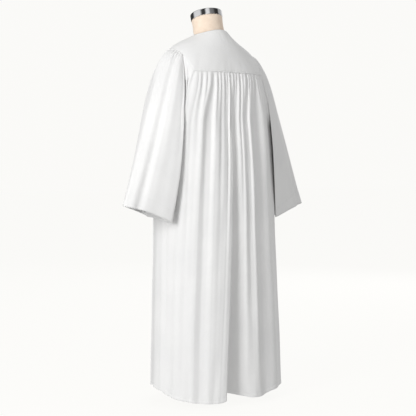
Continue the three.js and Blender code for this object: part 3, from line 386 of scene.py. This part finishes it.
def panel_grid(edge, gathers_long, folds, armholes, reach, side, relief, troughs, columns):
    """Grid of a gathered panel's outer points, rows from the yoke seam to the hem."""
    flip = np.array([side, 1, 1.0])
    at = np.linspace(0, 1, columns)
    gap_rows = [0, 2, 4, 7, 10, 14, 18, 23, 28]
    upper = np.array(gap_rows + list(np.linspace(35, 172, 18))) / 172
    down_low = np.concatenate([np.linspace(0, 1, 78)[1:-2], [
        0.978, 0.983, 0.986, 0.9878, 0.9895, 0.992, 0.995, 0.998, 1.0]])

    def hang(place, down):
        seam = edge_at(edge, place)
        start = seam["point"] + seam["across"] * SEAM_GAP
        end, following = (lower_cloth(folds, place, d) * flip for d in (0, 0.1))
        drop = (start[:, 2] - end[:, 2])[:, None]
        leave = seam["across"] * drop
        arrive = (following - end) * drop / (0.1 * (UNDERARM_Z - HEM_Z))
        return hermite(start, leave, end, arrive, np.reshape(down, (-1, 1, 1)))

    top = hang(at, upper)
    for end, armhole in enumerate(armholes):
        if armhole is None:
            continue
        place = np.array([float(end)])
        corner = edge_at(edge, place)["point"][0]
        shape = vec(np.sign(corner[0]) * through(armhole, "down", "x", upper),
                    through(armhole, "down", "y", upper), mix(corner[2], UNDERARM_Z, upper))
        seam_gap = (hang(place, 0)[0, 0] - corner) * (1 - upper)[:, None]
        shift = shape + seam_gap - hang(place, upper)[:, 0]
        top = top + shift[:, None] * smooth(1 - np.abs(at - end) / reach)[None, :, None]
    bottom = lower_cloth(folds, at[None], down_low[:, None]) * flip
    points = np.concatenate([top, bottom])
    faces = outward(points, grid_faces(points), (0, 20, 600))
    below = np.maximum(0, points[0][None, :, 2] - points[..., 2])
    at_grid = np.broadcast_to(at, below.shape)
    ends = [1.0 if a is None else 0.0 for a in armholes]
    near_edge = np.minimum(
        smooth(at_grid * gathers_long / 1.2 + ends[0]),
        smooth((1 - at_grid) * gathers_long / 1.2 + ends[1]))
    sunk = gather_relief(relief, at_grid * gathers_long, below) * near_edge
    fall = below / below[-1].max()
    for row in zip(*(troughs[k] for k in troughs)):
        arm, hem, width, top_d, arm_d, mid_d, hem_d = row
        centre = mix(arm, hem, fall)
        depth = np.interp(fall, (0, 0.16, 0.5, 1), (top_d, arm_d, 0.5 * mid_d, 0.3 * hem_d))
        sunk = sunk - TROUGH_STRENGTH * depth * near_edge * np.exp(
            -((at_grid - centre) / (1.5 * width)) ** 2)
    across_mm = at_grid * 1100 * len(at) / 286
    sunk = sunk + uneven(across_mm, below) * near_edge * smooth(below / 120)
    above_hem = points[..., 2] - points[-1][None, :, 2]
    sunk = sunk + hem_relief(above_hem, across_mm) * near_edge
    points = points + faces * sunk[..., None]
    if armholes[0] is None:
        points[:, 0, 0] = side * SEAM_GAP / 2
        points[:, 1:, 0] = side * np.maximum(side * points[:, 1:, 0], SEAM_GAP / 2)
    return points, dict(points=np.concatenate([top, bottom]), faces=faces, upper=upper)


def evened(points, share, spread=20):
    """Evens out a grid along its rows, by a share for each row; the ends stay where they are."""
    reach = 3 * spread
    first, last = points[:, :1], points[:, -1:]
    padded = np.concatenate([2 * first - points[:, reach:0:-1], points,
                             2 * last - points[:, -2:-reach - 2:-1]], axis=1)
    weights = np.exp(-0.5 * (np.arange(-reach, reach + 1) / spread) ** 2)
    weights /= weights.sum()
    even = sum(w * padded[:, k:k + points.shape[1]] for k, w in enumerate(weights))
    return mix(points, even, share.reshape(-1, 1, 1))


def yoke_grid(edge, rows, relief):
    """Grid of a yoke's outer points, rows from the neckline to the seam."""
    point = edge["point"]
    turn = np.arctan2((point[:, 1] - NECKLINE["centre"]) / YOKE_FAN[1],
                      point[:, 0] / YOKE_FAN[0])
    depth = np.where(np.sin(turn) >= 0, NECKLINE["back"], NECKLINE["front"])
    ahead = np.clip(-np.sin(turn), 0, 1)
    start = vec(NECKLINE["half_width"] * np.cos(turn),
                NECKLINE["centre"] + depth * np.sin(turn),
                mix(NECKLINE["back_z"], NECKLINE["side_z"], np.cos(turn) ** 2)
                - NECKLINE["dip"] * ahead**1.6)
    reach = np.linalg.norm(point - start, axis=1)[:, None]
    lean = np.degrees(np.arcsin(np.clip(edge["face"][:, 2], -1, 1)))
    flat = unit(vec(point[:, 0] / YOKE_FAN[0], point[:, 1] / YOKE_FAN[1], 0 * reach[:, 0]))

    def slope(degrees):
        a = np.radians(degrees)[:, None]
        return (flat * np.cos(a) + np.array([0, 0, -1.0]) * np.sin(a)) * reach

    leave = slope(mix(48, 24, smooth((lean - 14) / 34)))
    arrive = slope(90 - lean)
    t = np.linspace(0, 1, rows)
    points = hermite(start, leave, point, arrive, t.reshape(-1, 1, 1))
    points = evened(points, np.sin(np.pi * t) ** 0.7)
    faces = outward(points, grid_faces(points), (0, 0, 1000))
    at = np.linspace(0, 1, points.shape[1])[None]
    sunk = relief(at, t[:, None], (1 - t)[:, None] * reach[:, 0][None])
    return points + faces * sunk[..., None]


def back_yoke_relief(at, down, above):
    sunk = 0 * (at + down)
    for a0, d0, a1, d1, width, depth in zip(*(YOKE_WRINKLES[k] for k in YOKE_WRINKLES)):
        along = np.clip((down - d0) / (d1 - d0), 0, 1)
        centre = mix(a0, a1, along)
        ends = smooth((down - d0) / 0.12 + 0.5) * smooth((d1 - down) / 0.05 + 1)
        sunk = sunk - depth * ends * np.exp(-((at - centre) / width) ** 2)
    count = at * 40
    pucker = np.sin(2 * np.pi * count + 1.3 * np.sin(count)) * np.exp(-above / 9) * 0.35
    ditch = -0.7 * np.exp(-(above / 1.6) ** 2)
    stitched = -0.35 * np.exp(-((above - 5) / 1.6) ** 2)
    neck = hem_relief(down * 120, at * 400, band=7, pucker=7) * 0.6
    return sunk + pucker + ditch + stitched + neck + 0.12 * uneven(at * 420, down * 120)


def front_yoke_relief(at, down, above):
    count = at * 15
    pucker = np.sin(2 * np.pi * count + 1.3 * np.sin(count)) * np.exp(-above / 9) * 0.35
    ditch = -0.7 * np.exp(-(above / 1.6) ** 2) - 0.35 * np.exp(-((above - 5) / 1.6) ** 2)
    neck = hem_relief(down * 90, at * 200, band=7, pucker=7) * 0.6
    return pucker + ditch + neck + 0.12 * uneven(at * 210, down * 120) * smooth(at / 0.1)


# Sleeves
def sleeve_line(ring, key):
    """A closed smooth curve round the eight lines' spring, fall or cuff points."""
    count = len(SLEEVE_LINES)
    scaled = np.mod(ring, 1) * count
    i = np.floor(scaled).astype(int)
    t = (scaled - i)[:, None]
    a, b, c, d = (SLEEVE_LINES[(i + k) % count, key] for k in (-1, 0, 1, 2))
    return 0.5 * (2 * b + (c - a) * t + (2 * a - 5 * b + 4 * c - d) * t**2
                  + (3 * b - a - 3 * c + d) * t**3)


def round_average(values, width):
    return unit(sum(np.roll(values, k, 0) for k in range(-width, width + 1)))


def armhole_ring(side, yoke_part, back, back_column, front, front_column, fine=12, low=54):
    top = 1 - SLEEVE_TOP_SHARE
    steps = SLEEVE_GATHER_COUNT * fine
    at = 1 - np.arange(steps + 1) / steps
    here = 1 - at
    yoke = edge_at(yoke_part, at)
    place = YOKE_SHARE * np.where(here < top, here / top - 1, (here - top) / (1 - top))
    share = np.arange(1, low + 1) / low

    def side_edge(panel, column, s):
        upper = panel["upper"]
        rows = len(upper)
        want = np.interp(s * 5, range(6), UPPER_ROWS)
        point = panel["points"][:rows, column]
        face = panel["faces"][:rows, column]
        return [np.stack([np.interp(want, upper, v[:, k]) for k in range(3)], -1)
                for v in (point, face)]

    back_point, back_face = side_edge(back, back_column, share)
    front_share = share[:-1][::-1]
    front_point, front_face = side_edge(front, front_column, front_share)
    point = np.concatenate([yoke["point"], back_point, front_point])
    face = np.concatenate([yoke["face"], unit(back_face), unit(front_face)])
    ring = np.concatenate([np.mod(place + 1, 1), mix(YOKE_SHARE, 0.5, share),
                           mix(1 - YOKE_SHARE, 0.5, front_share)])
    along = unit(np.roll(point, -1, 0) - np.roll(point, 1, 0))
    face = unit(face - along * np.sum(face * along, axis=1, keepdims=True))
    across = np.cross(along, face)
    centre = np.array([side * 165, 10, 1050.0])
    across *= np.where(np.sum(across * (point - centre), axis=1) > 0, -1, 1)[:, None]
    on_yoke = np.arange(len(point)) <= steps
    across[on_yoke] = yoke["across"]
    face[on_yoke] = yoke["face"]
    count = np.where(on_yoke, np.minimum(np.arange(len(point)) / fine, SLEEVE_GATHER_COUNT),
                     -9.0)
    return dict(point=point, face=round_average(face, 3), across=round_average(across, 3),
                ring=ring, count=count)


def sleeve_grid(head, side, spread, lift, tuck, rows=118):
    t = np.concatenate([[0, 0.004, 0.009, 0.015, 0.022], np.linspace(0.03, 0.93, rows - 16),
                        np.linspace(0.94, 1, 11)]).reshape(-1, 1, 1)
    spring, fall, cuff = (sleeve_line(head["ring"], k) for k in range(3))
    spring[:, 0] += spread * np.maximum(0, np.cos(2 * np.pi * head["ring"]))
    cuff[:, 2] += lift * (CUFF_TOP_Z - cuff[:, 2]) / (CUFF_TOP_Z - CUFF_LOW_Z)
    near_tuck = tuck * smooth(1 - np.abs(head["ring"] - TUCK["ring"]) / TUCK["width"])[:, None]
    for points, shift in zip((spring, fall, cuff), TUCK["shift"]):
        points += near_tuck * np.array(shift, float)
        points[:, 0] *= side
    start = head["point"] + head["across"] * SEAM_GAP

    def bezier(s):
        return ((1 - s) ** 3 * start + 3 * (1 - s) ** 2 * s * spring
                + 3 * (1 - s) * s * s * fall + s**3 * cuff)

    grid = bezier(t)
    leave = unit(bezier(0.03) - start)
    dip = np.maximum(0, -np.sum(leave * head["face"], axis=1))[:, None] * 1.5
    back = np.maximum(0, -np.sum(leave * head["across"], axis=1))[:, None] * 2 * SEAM_GAP
    near = smooth(1 - t / 0.03)
    grid = grid + (head["across"] * dip + head["face"] * back) * near
    faces = outward(grid, grid_faces(grid, ring=True), (side * 250, 10, 860))
    ring = head["ring"][None]
    down = t[:, :, 0]
    along = down * SLEEVE_LENGTH
    sunk = 0 * (ring + down)
    for place, width, at_head, at_elbow, at_cuff in zip(*(SLEEVE_FOLDS[k] for k in SLEEVE_FOLDS)):
        gap = np.abs(np.mod(ring - place + 0.5, 1) - 0.5) / width
        depth = np.interp(down, (0, 0.5, 1), (at_head, at_elbow, at_cuff))
        sunk = sunk - depth * np.exp(-gap**2) * smooth(down / 0.15)
    count = head["count"][None]
    edge_fade = smooth(np.minimum(count, SLEEVE_GATHER_COUNT - count) / 0.8)
    gathers = gather_relief(SLEEVE_GATHERS, count, along, SLEEVE_GATHER_STRENGTH)
    sunk = sunk + gathers * edge_fade * smooth(along / 6)
    sunk = sunk + 0.8 * uneven(ring * 900, along) * smooth(along / 90)
    above = (1 - down) * 530
    sunk = sunk + hem_relief(above, ring * 700, band=25, pucker=5)
    return grid + faces * sunk[..., None]


# Meshes
def shell(name, grid, ring=False, thickness=CLOTH):
    """A closed thin shell between a grid of outer points and the same grid moved in."""
    rows, columns = grid.shape[:2]
    faces = outward(grid, grid_faces(grid, ring), grid.reshape(-1, 3).mean(0))
    inner = grid - faces * thickness
    vertices = np.concatenate([grid.reshape(-1, 3), inner.reshape(-1, 3)]) * MM
    spans = columns if ring else columns - 1
    r, c = np.meshgrid(np.arange(rows - 1), np.arange(spans), indexing="ij")
    a, b = r * columns + c, r * columns + (c + 1) % columns
    outer = np.stack([a, b, b + columns, a + columns], -1).reshape(-1, 4)
    total = rows * columns
    quads = [outer, outer[:, ::-1] + total]
    for row, turned in ((0, False), (rows - 1, True)):
        c = np.arange(spans)
        a, b = row * columns + c, row * columns + (c + 1) % columns
        rim = np.stack([a, a + total, b + total, b], -1)
        quads.append(rim[:, ::-1] if turned else rim)
    if not ring:
        for column, turned in ((0, True), (columns - 1, False)):
            a = np.arange(rows - 1) * columns + column
            rim = np.stack([a, a + total, a + columns + total, a + columns], -1)
            quads.append(rim[:, ::-1] if turned else rim)
    quads = np.concatenate(quads)
    winding = np.cross(grid[1:, :1] - grid[:-1, :1], grid[:-1, 1:2] - grid[:-1, :1])
    if np.sum(winding * faces[:-1, :1]) > 0:
        quads = quads[:, ::-1]
    mesh = bpy.data.meshes.new(name)
    mesh.from_pydata(vertices.tolist(), [], quads.tolist())
    step_u = np.linalg.norm(np.diff(grid[rows // 2], axis=0), axis=1)
    step_v = np.linalg.norm(np.diff(grid[:, columns // 2], axis=0), axis=1)
    u = np.concatenate([[0], np.cumsum(step_u)]) * MM
    v = np.concatenate([[0], np.cumsum(step_v)]) * MM
    uv = np.stack(np.meshgrid(u, v), -1).reshape(-1, 2)
    uv = np.concatenate([uv, uv])
    layer = mesh.uv_layers.new(name="cloth")
    loops = np.empty(len(mesh.loops), int)
    mesh.loops.foreach_get("vertex_index", loops)
    layer.data.foreach_set("uv", uv[loops].ravel())
    return finish_mesh(name, mesh)


def finish_mesh(name, mesh):
    mesh.validate()
    mesh.shade_smooth()
    piece = bpy.data.objects.new(name, mesh)
    bpy.context.scene.collection.objects.link(piece)
    return piece


def revolve(name, rings):
    """A closed body through rings of points, each an array of the same length."""
    count = len(rings[0])
    vertices = np.concatenate(rings) * MM
    faces = []
    for r in range(len(rings) - 1):
        for c in range(count):
            a, b = r * count + c, r * count + (c + 1) % count
            faces.append((a, b, b + count, a + count))
    faces.append(tuple(range(count))[::-1])
    faces.append(tuple(range((len(rings) - 1) * count, len(rings) * count)))
    mesh = bpy.data.meshes.new(name)
    mesh.from_pydata(vertices.tolist(), [], faces)
    return finish_mesh(name, mesh)


def oval(centre, half_width, half_depth, square, z, tilt=0, count=96):
    turn = 2 * np.pi * np.arange(count) / count
    side, depth = np.cos(turn), np.sin(turn)
    reach = (np.abs(side) ** square + np.abs(depth) ** square) ** (-1 / square)
    y = half_depth * reach * depth
    return vec(half_width * reach * side, centre + y * math.cos(math.radians(tilt)),
               z + y * math.sin(math.radians(tilt)))


# Materials
def material(name, colour, roughness, metallic=0.0, sheen=0.0):
    made = bpy.data.materials.new(name)
    made.use_nodes = True
    shader = made.node_tree.nodes["Principled BSDF"]
    shader.inputs["Base Color"].default_value = (*colour, 1)
    shader.inputs["Roughness"].default_value = roughness
    shader.inputs["Metallic"].default_value = metallic
    shader.inputs["Sheen Weight"].default_value = sheen
    shader.inputs["Sheen Roughness"].default_value = 0.5
    return made, made.node_tree, shader


def node(tree, kind, **values):
    made = tree.nodes.new(kind)
    for key, value in values.items():
        if key in made.inputs:
            made.inputs[key].default_value = value
        else:
            setattr(made, key, value)
    return made


def mottled(tree, shader, source, scale, dark, light):
    """Slight colour variation between two shades."""
    noise = node(tree, "ShaderNodeTexNoise", Scale=scale, Detail=3.0)
    ramp = tree.nodes.new("ShaderNodeValToRGB")
    ramp.color_ramp.elements[0].position, ramp.color_ramp.elements[1].position = 0.3, 0.7
    ramp.color_ramp.elements[0].color = (*dark, 1)
    ramp.color_ramp.elements[1].color = (*light, 1)
    tree.links.new(source, noise.inputs["Vector"])
    tree.links.new(noise.outputs["Fac"], ramp.inputs["Fac"])
    tree.links.new(ramp.outputs["Color"], shader.inputs["Base Color"])


def weave(tree, shader, uv, place, pitch, strength, pucker):
    """Threads that cross over and under, in metres on the cloth, and small soft puckers."""
    waves = []
    for direction in ("X", "Y"):
        wave = node(tree, "ShaderNodeTexWave", Scale=1 / pitch / 20 * math.pi, Distortion=0.6,
                    Detail=1.0)
        wave.bands_direction = direction
        tree.links.new(uv, wave.inputs["Vector"])
        waves.append(wave.outputs["Fac"])
    crossing = node(tree, "ShaderNodeMath", operation="MULTIPLY")
    tree.links.new(waves[0], crossing.inputs[0])
    tree.links.new(waves[1], crossing.inputs[1])
    soft = node(tree, "ShaderNodeTexNoise", Scale=pucker, Detail=2.0, Roughness=0.45)
    tree.links.new(place, soft.inputs["Vector"])
    puckers = node(tree, "ShaderNodeBump", Strength=0.5, Distance=0.0016)
    threads = node(tree, "ShaderNodeBump", Strength=strength, Distance=0.0003)
    tree.links.new(soft.outputs["Fac"], puckers.inputs["Height"])
    tree.links.new(crossing.outputs["Value"], threads.inputs["Height"])
    tree.links.new(puckers.outputs["Normal"], threads.inputs["Normal"])
    tree.links.new(threads.outputs["Normal"], shader.inputs["Normal"])


def cloth_material():
    made, tree, shader = material("white_cloth", (0.86, 0.86, 0.855), 0.86, sheen=0.12)
    coords = tree.nodes.new("ShaderNodeTexCoord")
    mottled(tree, shader, coords.outputs["Object"], 9.0, (0.835, 0.835, 0.832),
            (0.875, 0.874, 0.868))
    weave(tree, shader, coords.outputs["UV"], coords.outputs["Object"], 0.0009, 0.25, 34.0)
    return made


def linen_material():
    made, tree, shader = material("linen", (0.92, 0.76, 0.62), 0.9, sheen=0.1)
    coords = tree.nodes.new("ShaderNodeTexCoord")
    mottled(tree, shader, coords.outputs["Object"], 60.0, (0.88, 0.72, 0.58),
            (0.95, 0.80, 0.66))
    weave(tree, shader, coords.outputs["Object"], coords.outputs["Object"], 0.0014, 0.5, 60.0)
    return made


def metal_material(name, colour, roughness, grain):
    made, tree, shader = material(name, colour, roughness, metallic=1.0)
    coords = tree.nodes.new("ShaderNodeTexCoord")
    mottled(tree, shader, coords.outputs["Object"], grain, colour,
            tuple(min(1, c * 1.06) for c in colour))
    noise = node(tree, "ShaderNodeTexNoise", Scale=grain * 6, Detail=4.0)
    spread = node(tree, "ShaderNodeMapRange")
    spread.inputs["To Min"].default_value = roughness * 0.8
    spread.inputs["To Max"].default_value = roughness * 1.3
    tree.links.new(coords.outputs["Object"], noise.inputs["Vector"])
    tree.links.new(noise.outputs["Fac"], spread.inputs["Value"])
    tree.links.new(spread.outputs["Result"], shader.inputs["Roughness"])
    return made


CLOTH_MATERIAL = cloth_material()
LINEN_MATERIAL = linen_material()
CHROME_MATERIAL = metal_material("chrome", (0.78, 0.78, 0.79), 0.09, 20.0)
STEEL_MATERIAL = metal_material("stand_steel", (0.42, 0.42, 0.43), 0.38, 30.0)
thread, thread_tree, thread_shader = material("thread", (0.83, 0.83, 0.82), 0.6, sheen=0.1)
thread_coords = thread_tree.nodes.new("ShaderNodeTexCoord")
mottled(thread_tree, thread_shader, thread_coords.outputs["Object"], 700.0, (0.78, 0.78, 0.77),
        (0.86, 0.86, 0.85))


# Stitches: short threads repeated along a path
def stitch_tree():
    tree = bpy.data.node_groups.new("stitches", "GeometryNodeTree")
    for name, way, kind in (
            ("Path", "INPUT", "NodeSocketGeometry"), ("Pitch", "INPUT", "NodeSocketFloat"),
            ("Length", "INPUT", "NodeSocketFloat"), ("Radius", "INPUT", "NodeSocketFloat"),
            ("Thread", "INPUT", "NodeSocketMaterial"),
            ("Stitches", "OUTPUT", "NodeSocketGeometry")):
        tree.interface.new_socket(name=name, in_out=way, socket_type=kind)
    given = tree.nodes.new("NodeGroupInput")
    result = tree.nodes.new("NodeGroupOutput")
    curve = tree.nodes.new("GeometryNodeMeshToCurve")
    evenly = tree.nodes.new("GeometryNodeResampleCurve")
    evenly.mode = "LENGTH"
    stitch = tree.nodes.new("GeometryNodeMeshCylinder")
    stitch.inputs["Vertices"].default_value = 5
    tangent = tree.nodes.new("GeometryNodeInputTangent")
    turn = tree.nodes.new("FunctionNodeAlignRotationToVector")
    turn.axis = "Z"
    copies = tree.nodes.new("GeometryNodeInstanceOnPoints")
    realised = tree.nodes.new("GeometryNodeRealizeInstances")
    painted = tree.nodes.new("GeometryNodeSetMaterial")
    link = tree.links.new
    link(given.outputs["Path"], curve.inputs["Mesh"])
    link(curve.outputs["Curve"], evenly.inputs["Curve"])
    link(given.outputs["Pitch"], evenly.inputs["Length"])
    link(given.outputs["Length"], stitch.inputs["Depth"])
    link(given.outputs["Radius"], stitch.inputs["Radius"])
    link(tangent.outputs["Tangent"], turn.inputs["Vector"])
    link(evenly.outputs["Curve"], copies.inputs["Points"])
    link(stitch.outputs["Mesh"], copies.inputs["Instance"])
    link(turn.outputs["Rotation"], copies.inputs["Rotation"])
    link(copies.outputs["Instances"], realised.inputs["Geometry"])
    link(realised.outputs["Geometry"], painted.inputs["Geometry"])
    link(given.outputs["Thread"], painted.inputs["Material"])
    link(painted.outputs["Geometry"], result.inputs["Stitches"])
    return tree


STITCH_TREE = stitch_tree()


def stitches(name, paths, pitch=0.0032, length=0.0022, radius=0.00028):
    """Stitches along each path; a path is (points in millimetres, closed)."""
    vertices, edges = [], []
    for points, closed in paths:
        first = len(vertices)
        vertices.extend((np.asarray(points) * MM).tolist())
        last = len(vertices) - 1
        edges.extend((i, i + 1) for i in range(first, last))
        if closed:
            edges.append((last, first))
    mesh = bpy.data.meshes.new(name + "_path")
    mesh.from_pydata(vertices, edges, [])
    guide = bpy.data.objects.new(name + "_path", mesh)
    bpy.context.scene.collection.objects.link(guide)
    maker = guide.modifiers.new("stitches", "NODES")
    maker.node_group = STITCH_TREE
    values = dict(Pitch=pitch, Length=length, Radius=radius, Thread=thread)
    for item in STITCH_TREE.interface.items_tree:
        if item.in_out == "INPUT" and item.name in values:
            maker[item.identifier] = values[item.name]
    guide.update_tag()
    bpy.context.view_layer.update()
    seen = bpy.context.evaluated_depsgraph_get()
    made = bpy.data.meshes.new_from_object(guide.evaluated_get(seen))
    bpy.data.objects.remove(guide)
    piece = bpy.data.objects.new(name, made)
    bpy.context.scene.collection.objects.link(piece)
    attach(piece, "root")
    return piece


def grid_line(grid, row, lift=0.35, ring=False):
    """A row of a grid, lifted off its outer face."""
    faces = grid_faces(grid, ring)
    line = grid[row]
    sign = 1 if np.sum(faces * (grid - grid.reshape(-1, 3).mean(0))) > 0 else -1
    return line + sign * faces[row] * lift


# Build the robe
def place(piece, finish, slot_name, *nodes):
    piece.data.materials.append(finish)
    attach(piece, "root")
    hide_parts(*nodes)
    return piece


left, right = EDGES[1], EDGES[-1]
back_yoke = yoke_grid(joined(stretch(left, "shoulder seam", "centre back"),
                             stretch(right, "centre back", "shoulder seam")), 48,
                      back_yoke_relief)
back_yoke[:, [0, -1], 1] += SEAM_GAP / 2
back_edge = joined(stretch(left, "back armhole", "centre back"),
                   stretch(right, "centre back", "back armhole"))
back_panel, back_base = panel_grid(
    back_edge, BACK_GATHER_COUNT, BACK_FOLDS, (ARMHOLE_BACK, ARMHOLE_BACK), 0.16, 1,
    BACK_GATHERS, BACK_TROUGHS, BACK_GATHER_COUNT * BACK_STEPS + 1)
fronts, front_yokes, sleeves = {}, {}, {}
for name, side, spread, lift, tuck in SLEEVES:
    edge = EDGES[side]
    yoke = yoke_grid(stretch(edge, "shoulder seam", "centre front"), 40, front_yoke_relief)
    yoke[:, 0, 1] -= SEAM_GAP / 2
    yoke[:, -1, 0] = side * SEAM_GAP / 2
    front_yokes[name] = yoke
    front, front_base = panel_grid(
        stretch(edge, "centre front", "front armhole"), FRONT_GATHER_COUNT, FRONT_FOLDS,
        (None, ARMHOLE_FRONT), 0.4, side, FRONT_GATHERS, FRONT_TROUGHS,
        FRONT_GATHER_COUNT * FRONT_STEPS + 1)
    head = armhole_ring(
        side, stretch(edge, "back armhole", "front armhole"), back_base,
        0 if side > 0 else -1, front_base, -1)
    sleeves[name] = sleeve_grid(head, side, spread, lift, tuck)
    low = len(front_base["upper"])
    front[low:, -1, 1] -= SEAM_GAP / 2
    fronts[name] = front
low = len(back_base["upper"])
back_panel[low:, [0, -1], 1] += SEAM_GAP / 2

for name, grid, nodes, ring in (
        [("yoke_of_the_back", back_yoke, "back_yoke", False),
         ("gathered_back", back_panel, "back_panel", False)]
        + [(f"yoke_of_the_front_{n}", front_yokes[n], f"front_yoke_{n}", False) for n in fronts]
        + [(f"gathered_front_{n}", fronts[n], f"front_panel_{n}", False) for n in fronts]
        + [(f"bell_sleeve_{n}", sleeves[n], f"sleeve_{n}", True) for n in fronts]):
    piece = place(shell(name, grid, ring), CLOTH_MATERIAL, "cloth", nodes)

# The dress form and its cap
levels = np.unique(np.concatenate([FORM_LEVELS["z"], np.linspace(522, 1248, 90)]))
rings = []
for z in levels:
    slack = mix(4.5, 0.8, smooth((z - 1228) / 18))     # room under the yoke
    centre, half_width, half_depth, square = (through(FORM_LEVELS, "z", k, z) for k in (
        "centre", "half_width", "half_depth", "square"))
    rings.append(oval(centre, half_width - slack, half_depth - slack, square, z))
for share in np.linspace(0, 1, 13)[1:]:
    radius = mix(54.0, NECK_RADIUS, smooth(share)) - 1.6 * math.sin(math.pi * share)
    rings.append(oval(mix(-3, NECK_TOP[0], share), radius, radius, 2,
                      mix(1248, NECK_TOP[1], share), NECK_TILT * share))
place(revolve("dress_form", rings), LINEN_MATERIAL, "form_cover", "form_torso")

axis = np.array([0, -math.sin(math.radians(NECK_TILT)), math.cos(math.radians(NECK_TILT))])
cap_radius = NECK_RADIUS + CAP_OVERHANG
profile = [(cap_radius - 1.2, 0), (cap_radius - 0.4, 0.3), (cap_radius, 1.1)]
profile += [(cap_radius, h) for h in np.linspace(2.5, CAP_HEIGHT - 3, 8)]
profile += [(cap_radius - 2.2 * (1 - math.cos(a)), CAP_HEIGHT - 2.2 + 2.2 * math.sin(a))
            for a in np.linspace(0, math.pi / 2, 8)]
profile += [(cap_radius - 9, CAP_HEIGHT - 0.3), (cap_radius - 30, CAP_HEIGHT - 0.2),
            (3, CAP_HEIGHT)]
place(revolve("cap_of_the_neck", [
    oval(NECK_TOP[0], r, r, 2, NECK_TOP[1], NECK_TILT) + axis * (SEAM_GAP + h)
    for r, h in profile]), CHROME_MATERIAL, "cap", "neck_cap")
for name in ("stand_pole", "stand_base"):
    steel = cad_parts[name]
    steel.data.materials.clear()
    steel.data.materials.append(STEEL_MATERIAL)

# Stitching
HEM_STITCH_ROW, CUFF_STITCH_ROW, SEAM_STITCH_ROW, NECK_STITCH_ROW = -6, -9, -3, 3
panels = (back_panel, fronts["left"], fronts["right"])
yokes = (back_yoke, front_yokes["left"], front_yokes["right"])
stitches("hem_stitches", [(grid_line(g, HEM_STITCH_ROW), False) for g in panels])
stitches("cuff_stitches", [
    (grid_line(sleeves[n], CUFF_STITCH_ROW, ring=True), True) for n in sleeves])
stitches("yoke_stitches", [(grid_line(g, SEAM_STITCH_ROW), False) for g in yokes])
stitches("neckline_stitches", [(grid_line(g, NECK_STITCH_ROW), False) for g in yokes])

# Floor, light and air
floor_mesh = bpy.data.meshes.new("floor")
floor_mesh.from_pydata([(-30, -30, 0), (30, -30, 0), (30, 30, 0), (-30, 30, 0)], [],
                       [(0, 1, 2, 3)])
floor = bpy.data.objects.new("floor", floor_mesh)
bpy.context.scene.collection.objects.link(floor)
floor_finish, _, floor_shader = material("floor", (0.05, 0.05, 0.049), 0.95)
floor_shader.inputs["Emission Color"].default_value = (0.955, 0.95, 0.93, 1)
floor_shader.inputs["Emission Strength"].default_value = 0.975
floor_shader.inputs["Specular IOR Level"].default_value = 0.0
floor_mesh.materials.append(floor_finish)
floor.visible_diffuse = floor.visible_glossy = False

world = bpy.data.worlds.new("studio")
bpy.context.scene.world = world
world.use_nodes = True
air = world.node_tree
even = air.nodes["Background"]
even.inputs["Color"].default_value = (1, 0.998, 0.994, 1)
even.inputs["Strength"].default_value = 0.52
# What the camera sees behind the robe is near white; what gloss sees is a studio with dark flags
seen = node(air, "ShaderNodeBackground", Strength=1.0)
seen.inputs["Color"].default_value = (0.96, 0.955, 0.935, 1)
flags = node(air, "ShaderNodeBackground", Strength=0.9)
ray = air.nodes.new("ShaderNodeLightPath")
way = air.nodes.new("ShaderNodeTexCoord")
split = air.nodes.new("ShaderNodeSeparateXYZ")
bearing = node(air, "ShaderNodeMath", operation="ARCTAN2")
scaled = node(air, "ShaderNodeMapRange")
scaled.inputs["From Min"].default_value = -math.pi
scaled.inputs["From Max"].default_value = math.pi
bands = air.nodes.new("ShaderNodeValToRGB")
bands.color_ramp.interpolation = "EASE"
bands.color_ramp.elements[0].color = bands.color_ramp.elements[1].color = (0.5, 0.5, 0.5, 1)
for turn, shade in ((-150, 0.9), (-120, 0.05), (-60, 0.05), (-40, 0.9), (0, 0.9), (20, 0.06),
                    (38, 0.05), (55, 1.0), (72, 0.9), (84, 0.25), (108, 0.2), (125, 0.04),
                    (150, 0.03), (165, 0.5)):
    stop = bands.color_ramp.elements.new((turn + 180) / 360)
    stop.color = (shade, shade, shade, 1)
link = air.links.new
link(way.outputs["Generated"], split.inputs["Vector"])
link(split.outputs["Y"], bearing.inputs[0])
link(split.outputs["X"], bearing.inputs[1])
link(bearing.outputs["Value"], scaled.inputs["Value"])
link(scaled.outputs["Result"], bands.inputs["Fac"])
link(bands.outputs["Color"], flags.inputs["Color"])
to_camera, to_gloss = (air.nodes.new("ShaderNodeMixShader") for _ in range(2))
link(ray.outputs["Is Glossy Ray"], to_gloss.inputs["Fac"])
link(even.outputs["Background"], to_gloss.inputs[1])
link(flags.outputs["Background"], to_gloss.inputs[2])
link(ray.outputs["Is Camera Ray"], to_camera.inputs["Fac"])
link(to_gloss.outputs["Shader"], to_camera.inputs[1])
link(seen.outputs["Background"], to_camera.inputs[2])
link(to_camera.outputs["Shader"], air.nodes["World Output"].inputs["Surface"])
bpy.context.scene.view_settings.view_transform = "Standard"


def softbox(name, turn, height, distance, size, power):
    """An area light at a turn from the camera's own direction, aimed at the robe."""
    data = bpy.data.lights.new(name, "AREA")
    data.shape = "RECTANGLE"
    data.size, data.size_y = size
    data.energy = power
    lamp = bpy.data.objects.new(name, data)
    bpy.context.scene.collection.objects.link(lamp)
    angle = math.radians(90 - CAMERA_TURN + turn)
    lamp.location = (distance * math.cos(angle), distance * math.sin(angle), height)
    aim = Vector((0, 0, 0.7)) - lamp.location
    lamp.visible_glossy = False
    lamp.rotation_euler = aim.to_track_quat("-Z", "Y").to_euler()


softbox("key", -34, 1.7, 3.6, (1.2, 2.2), 82)
softbox("fill", 35, 1.7, 4.0, (2.0, 2.0), 9)
softbox("front_key", 160, 2.2, 4.0, (2.5, 2.5), 70)
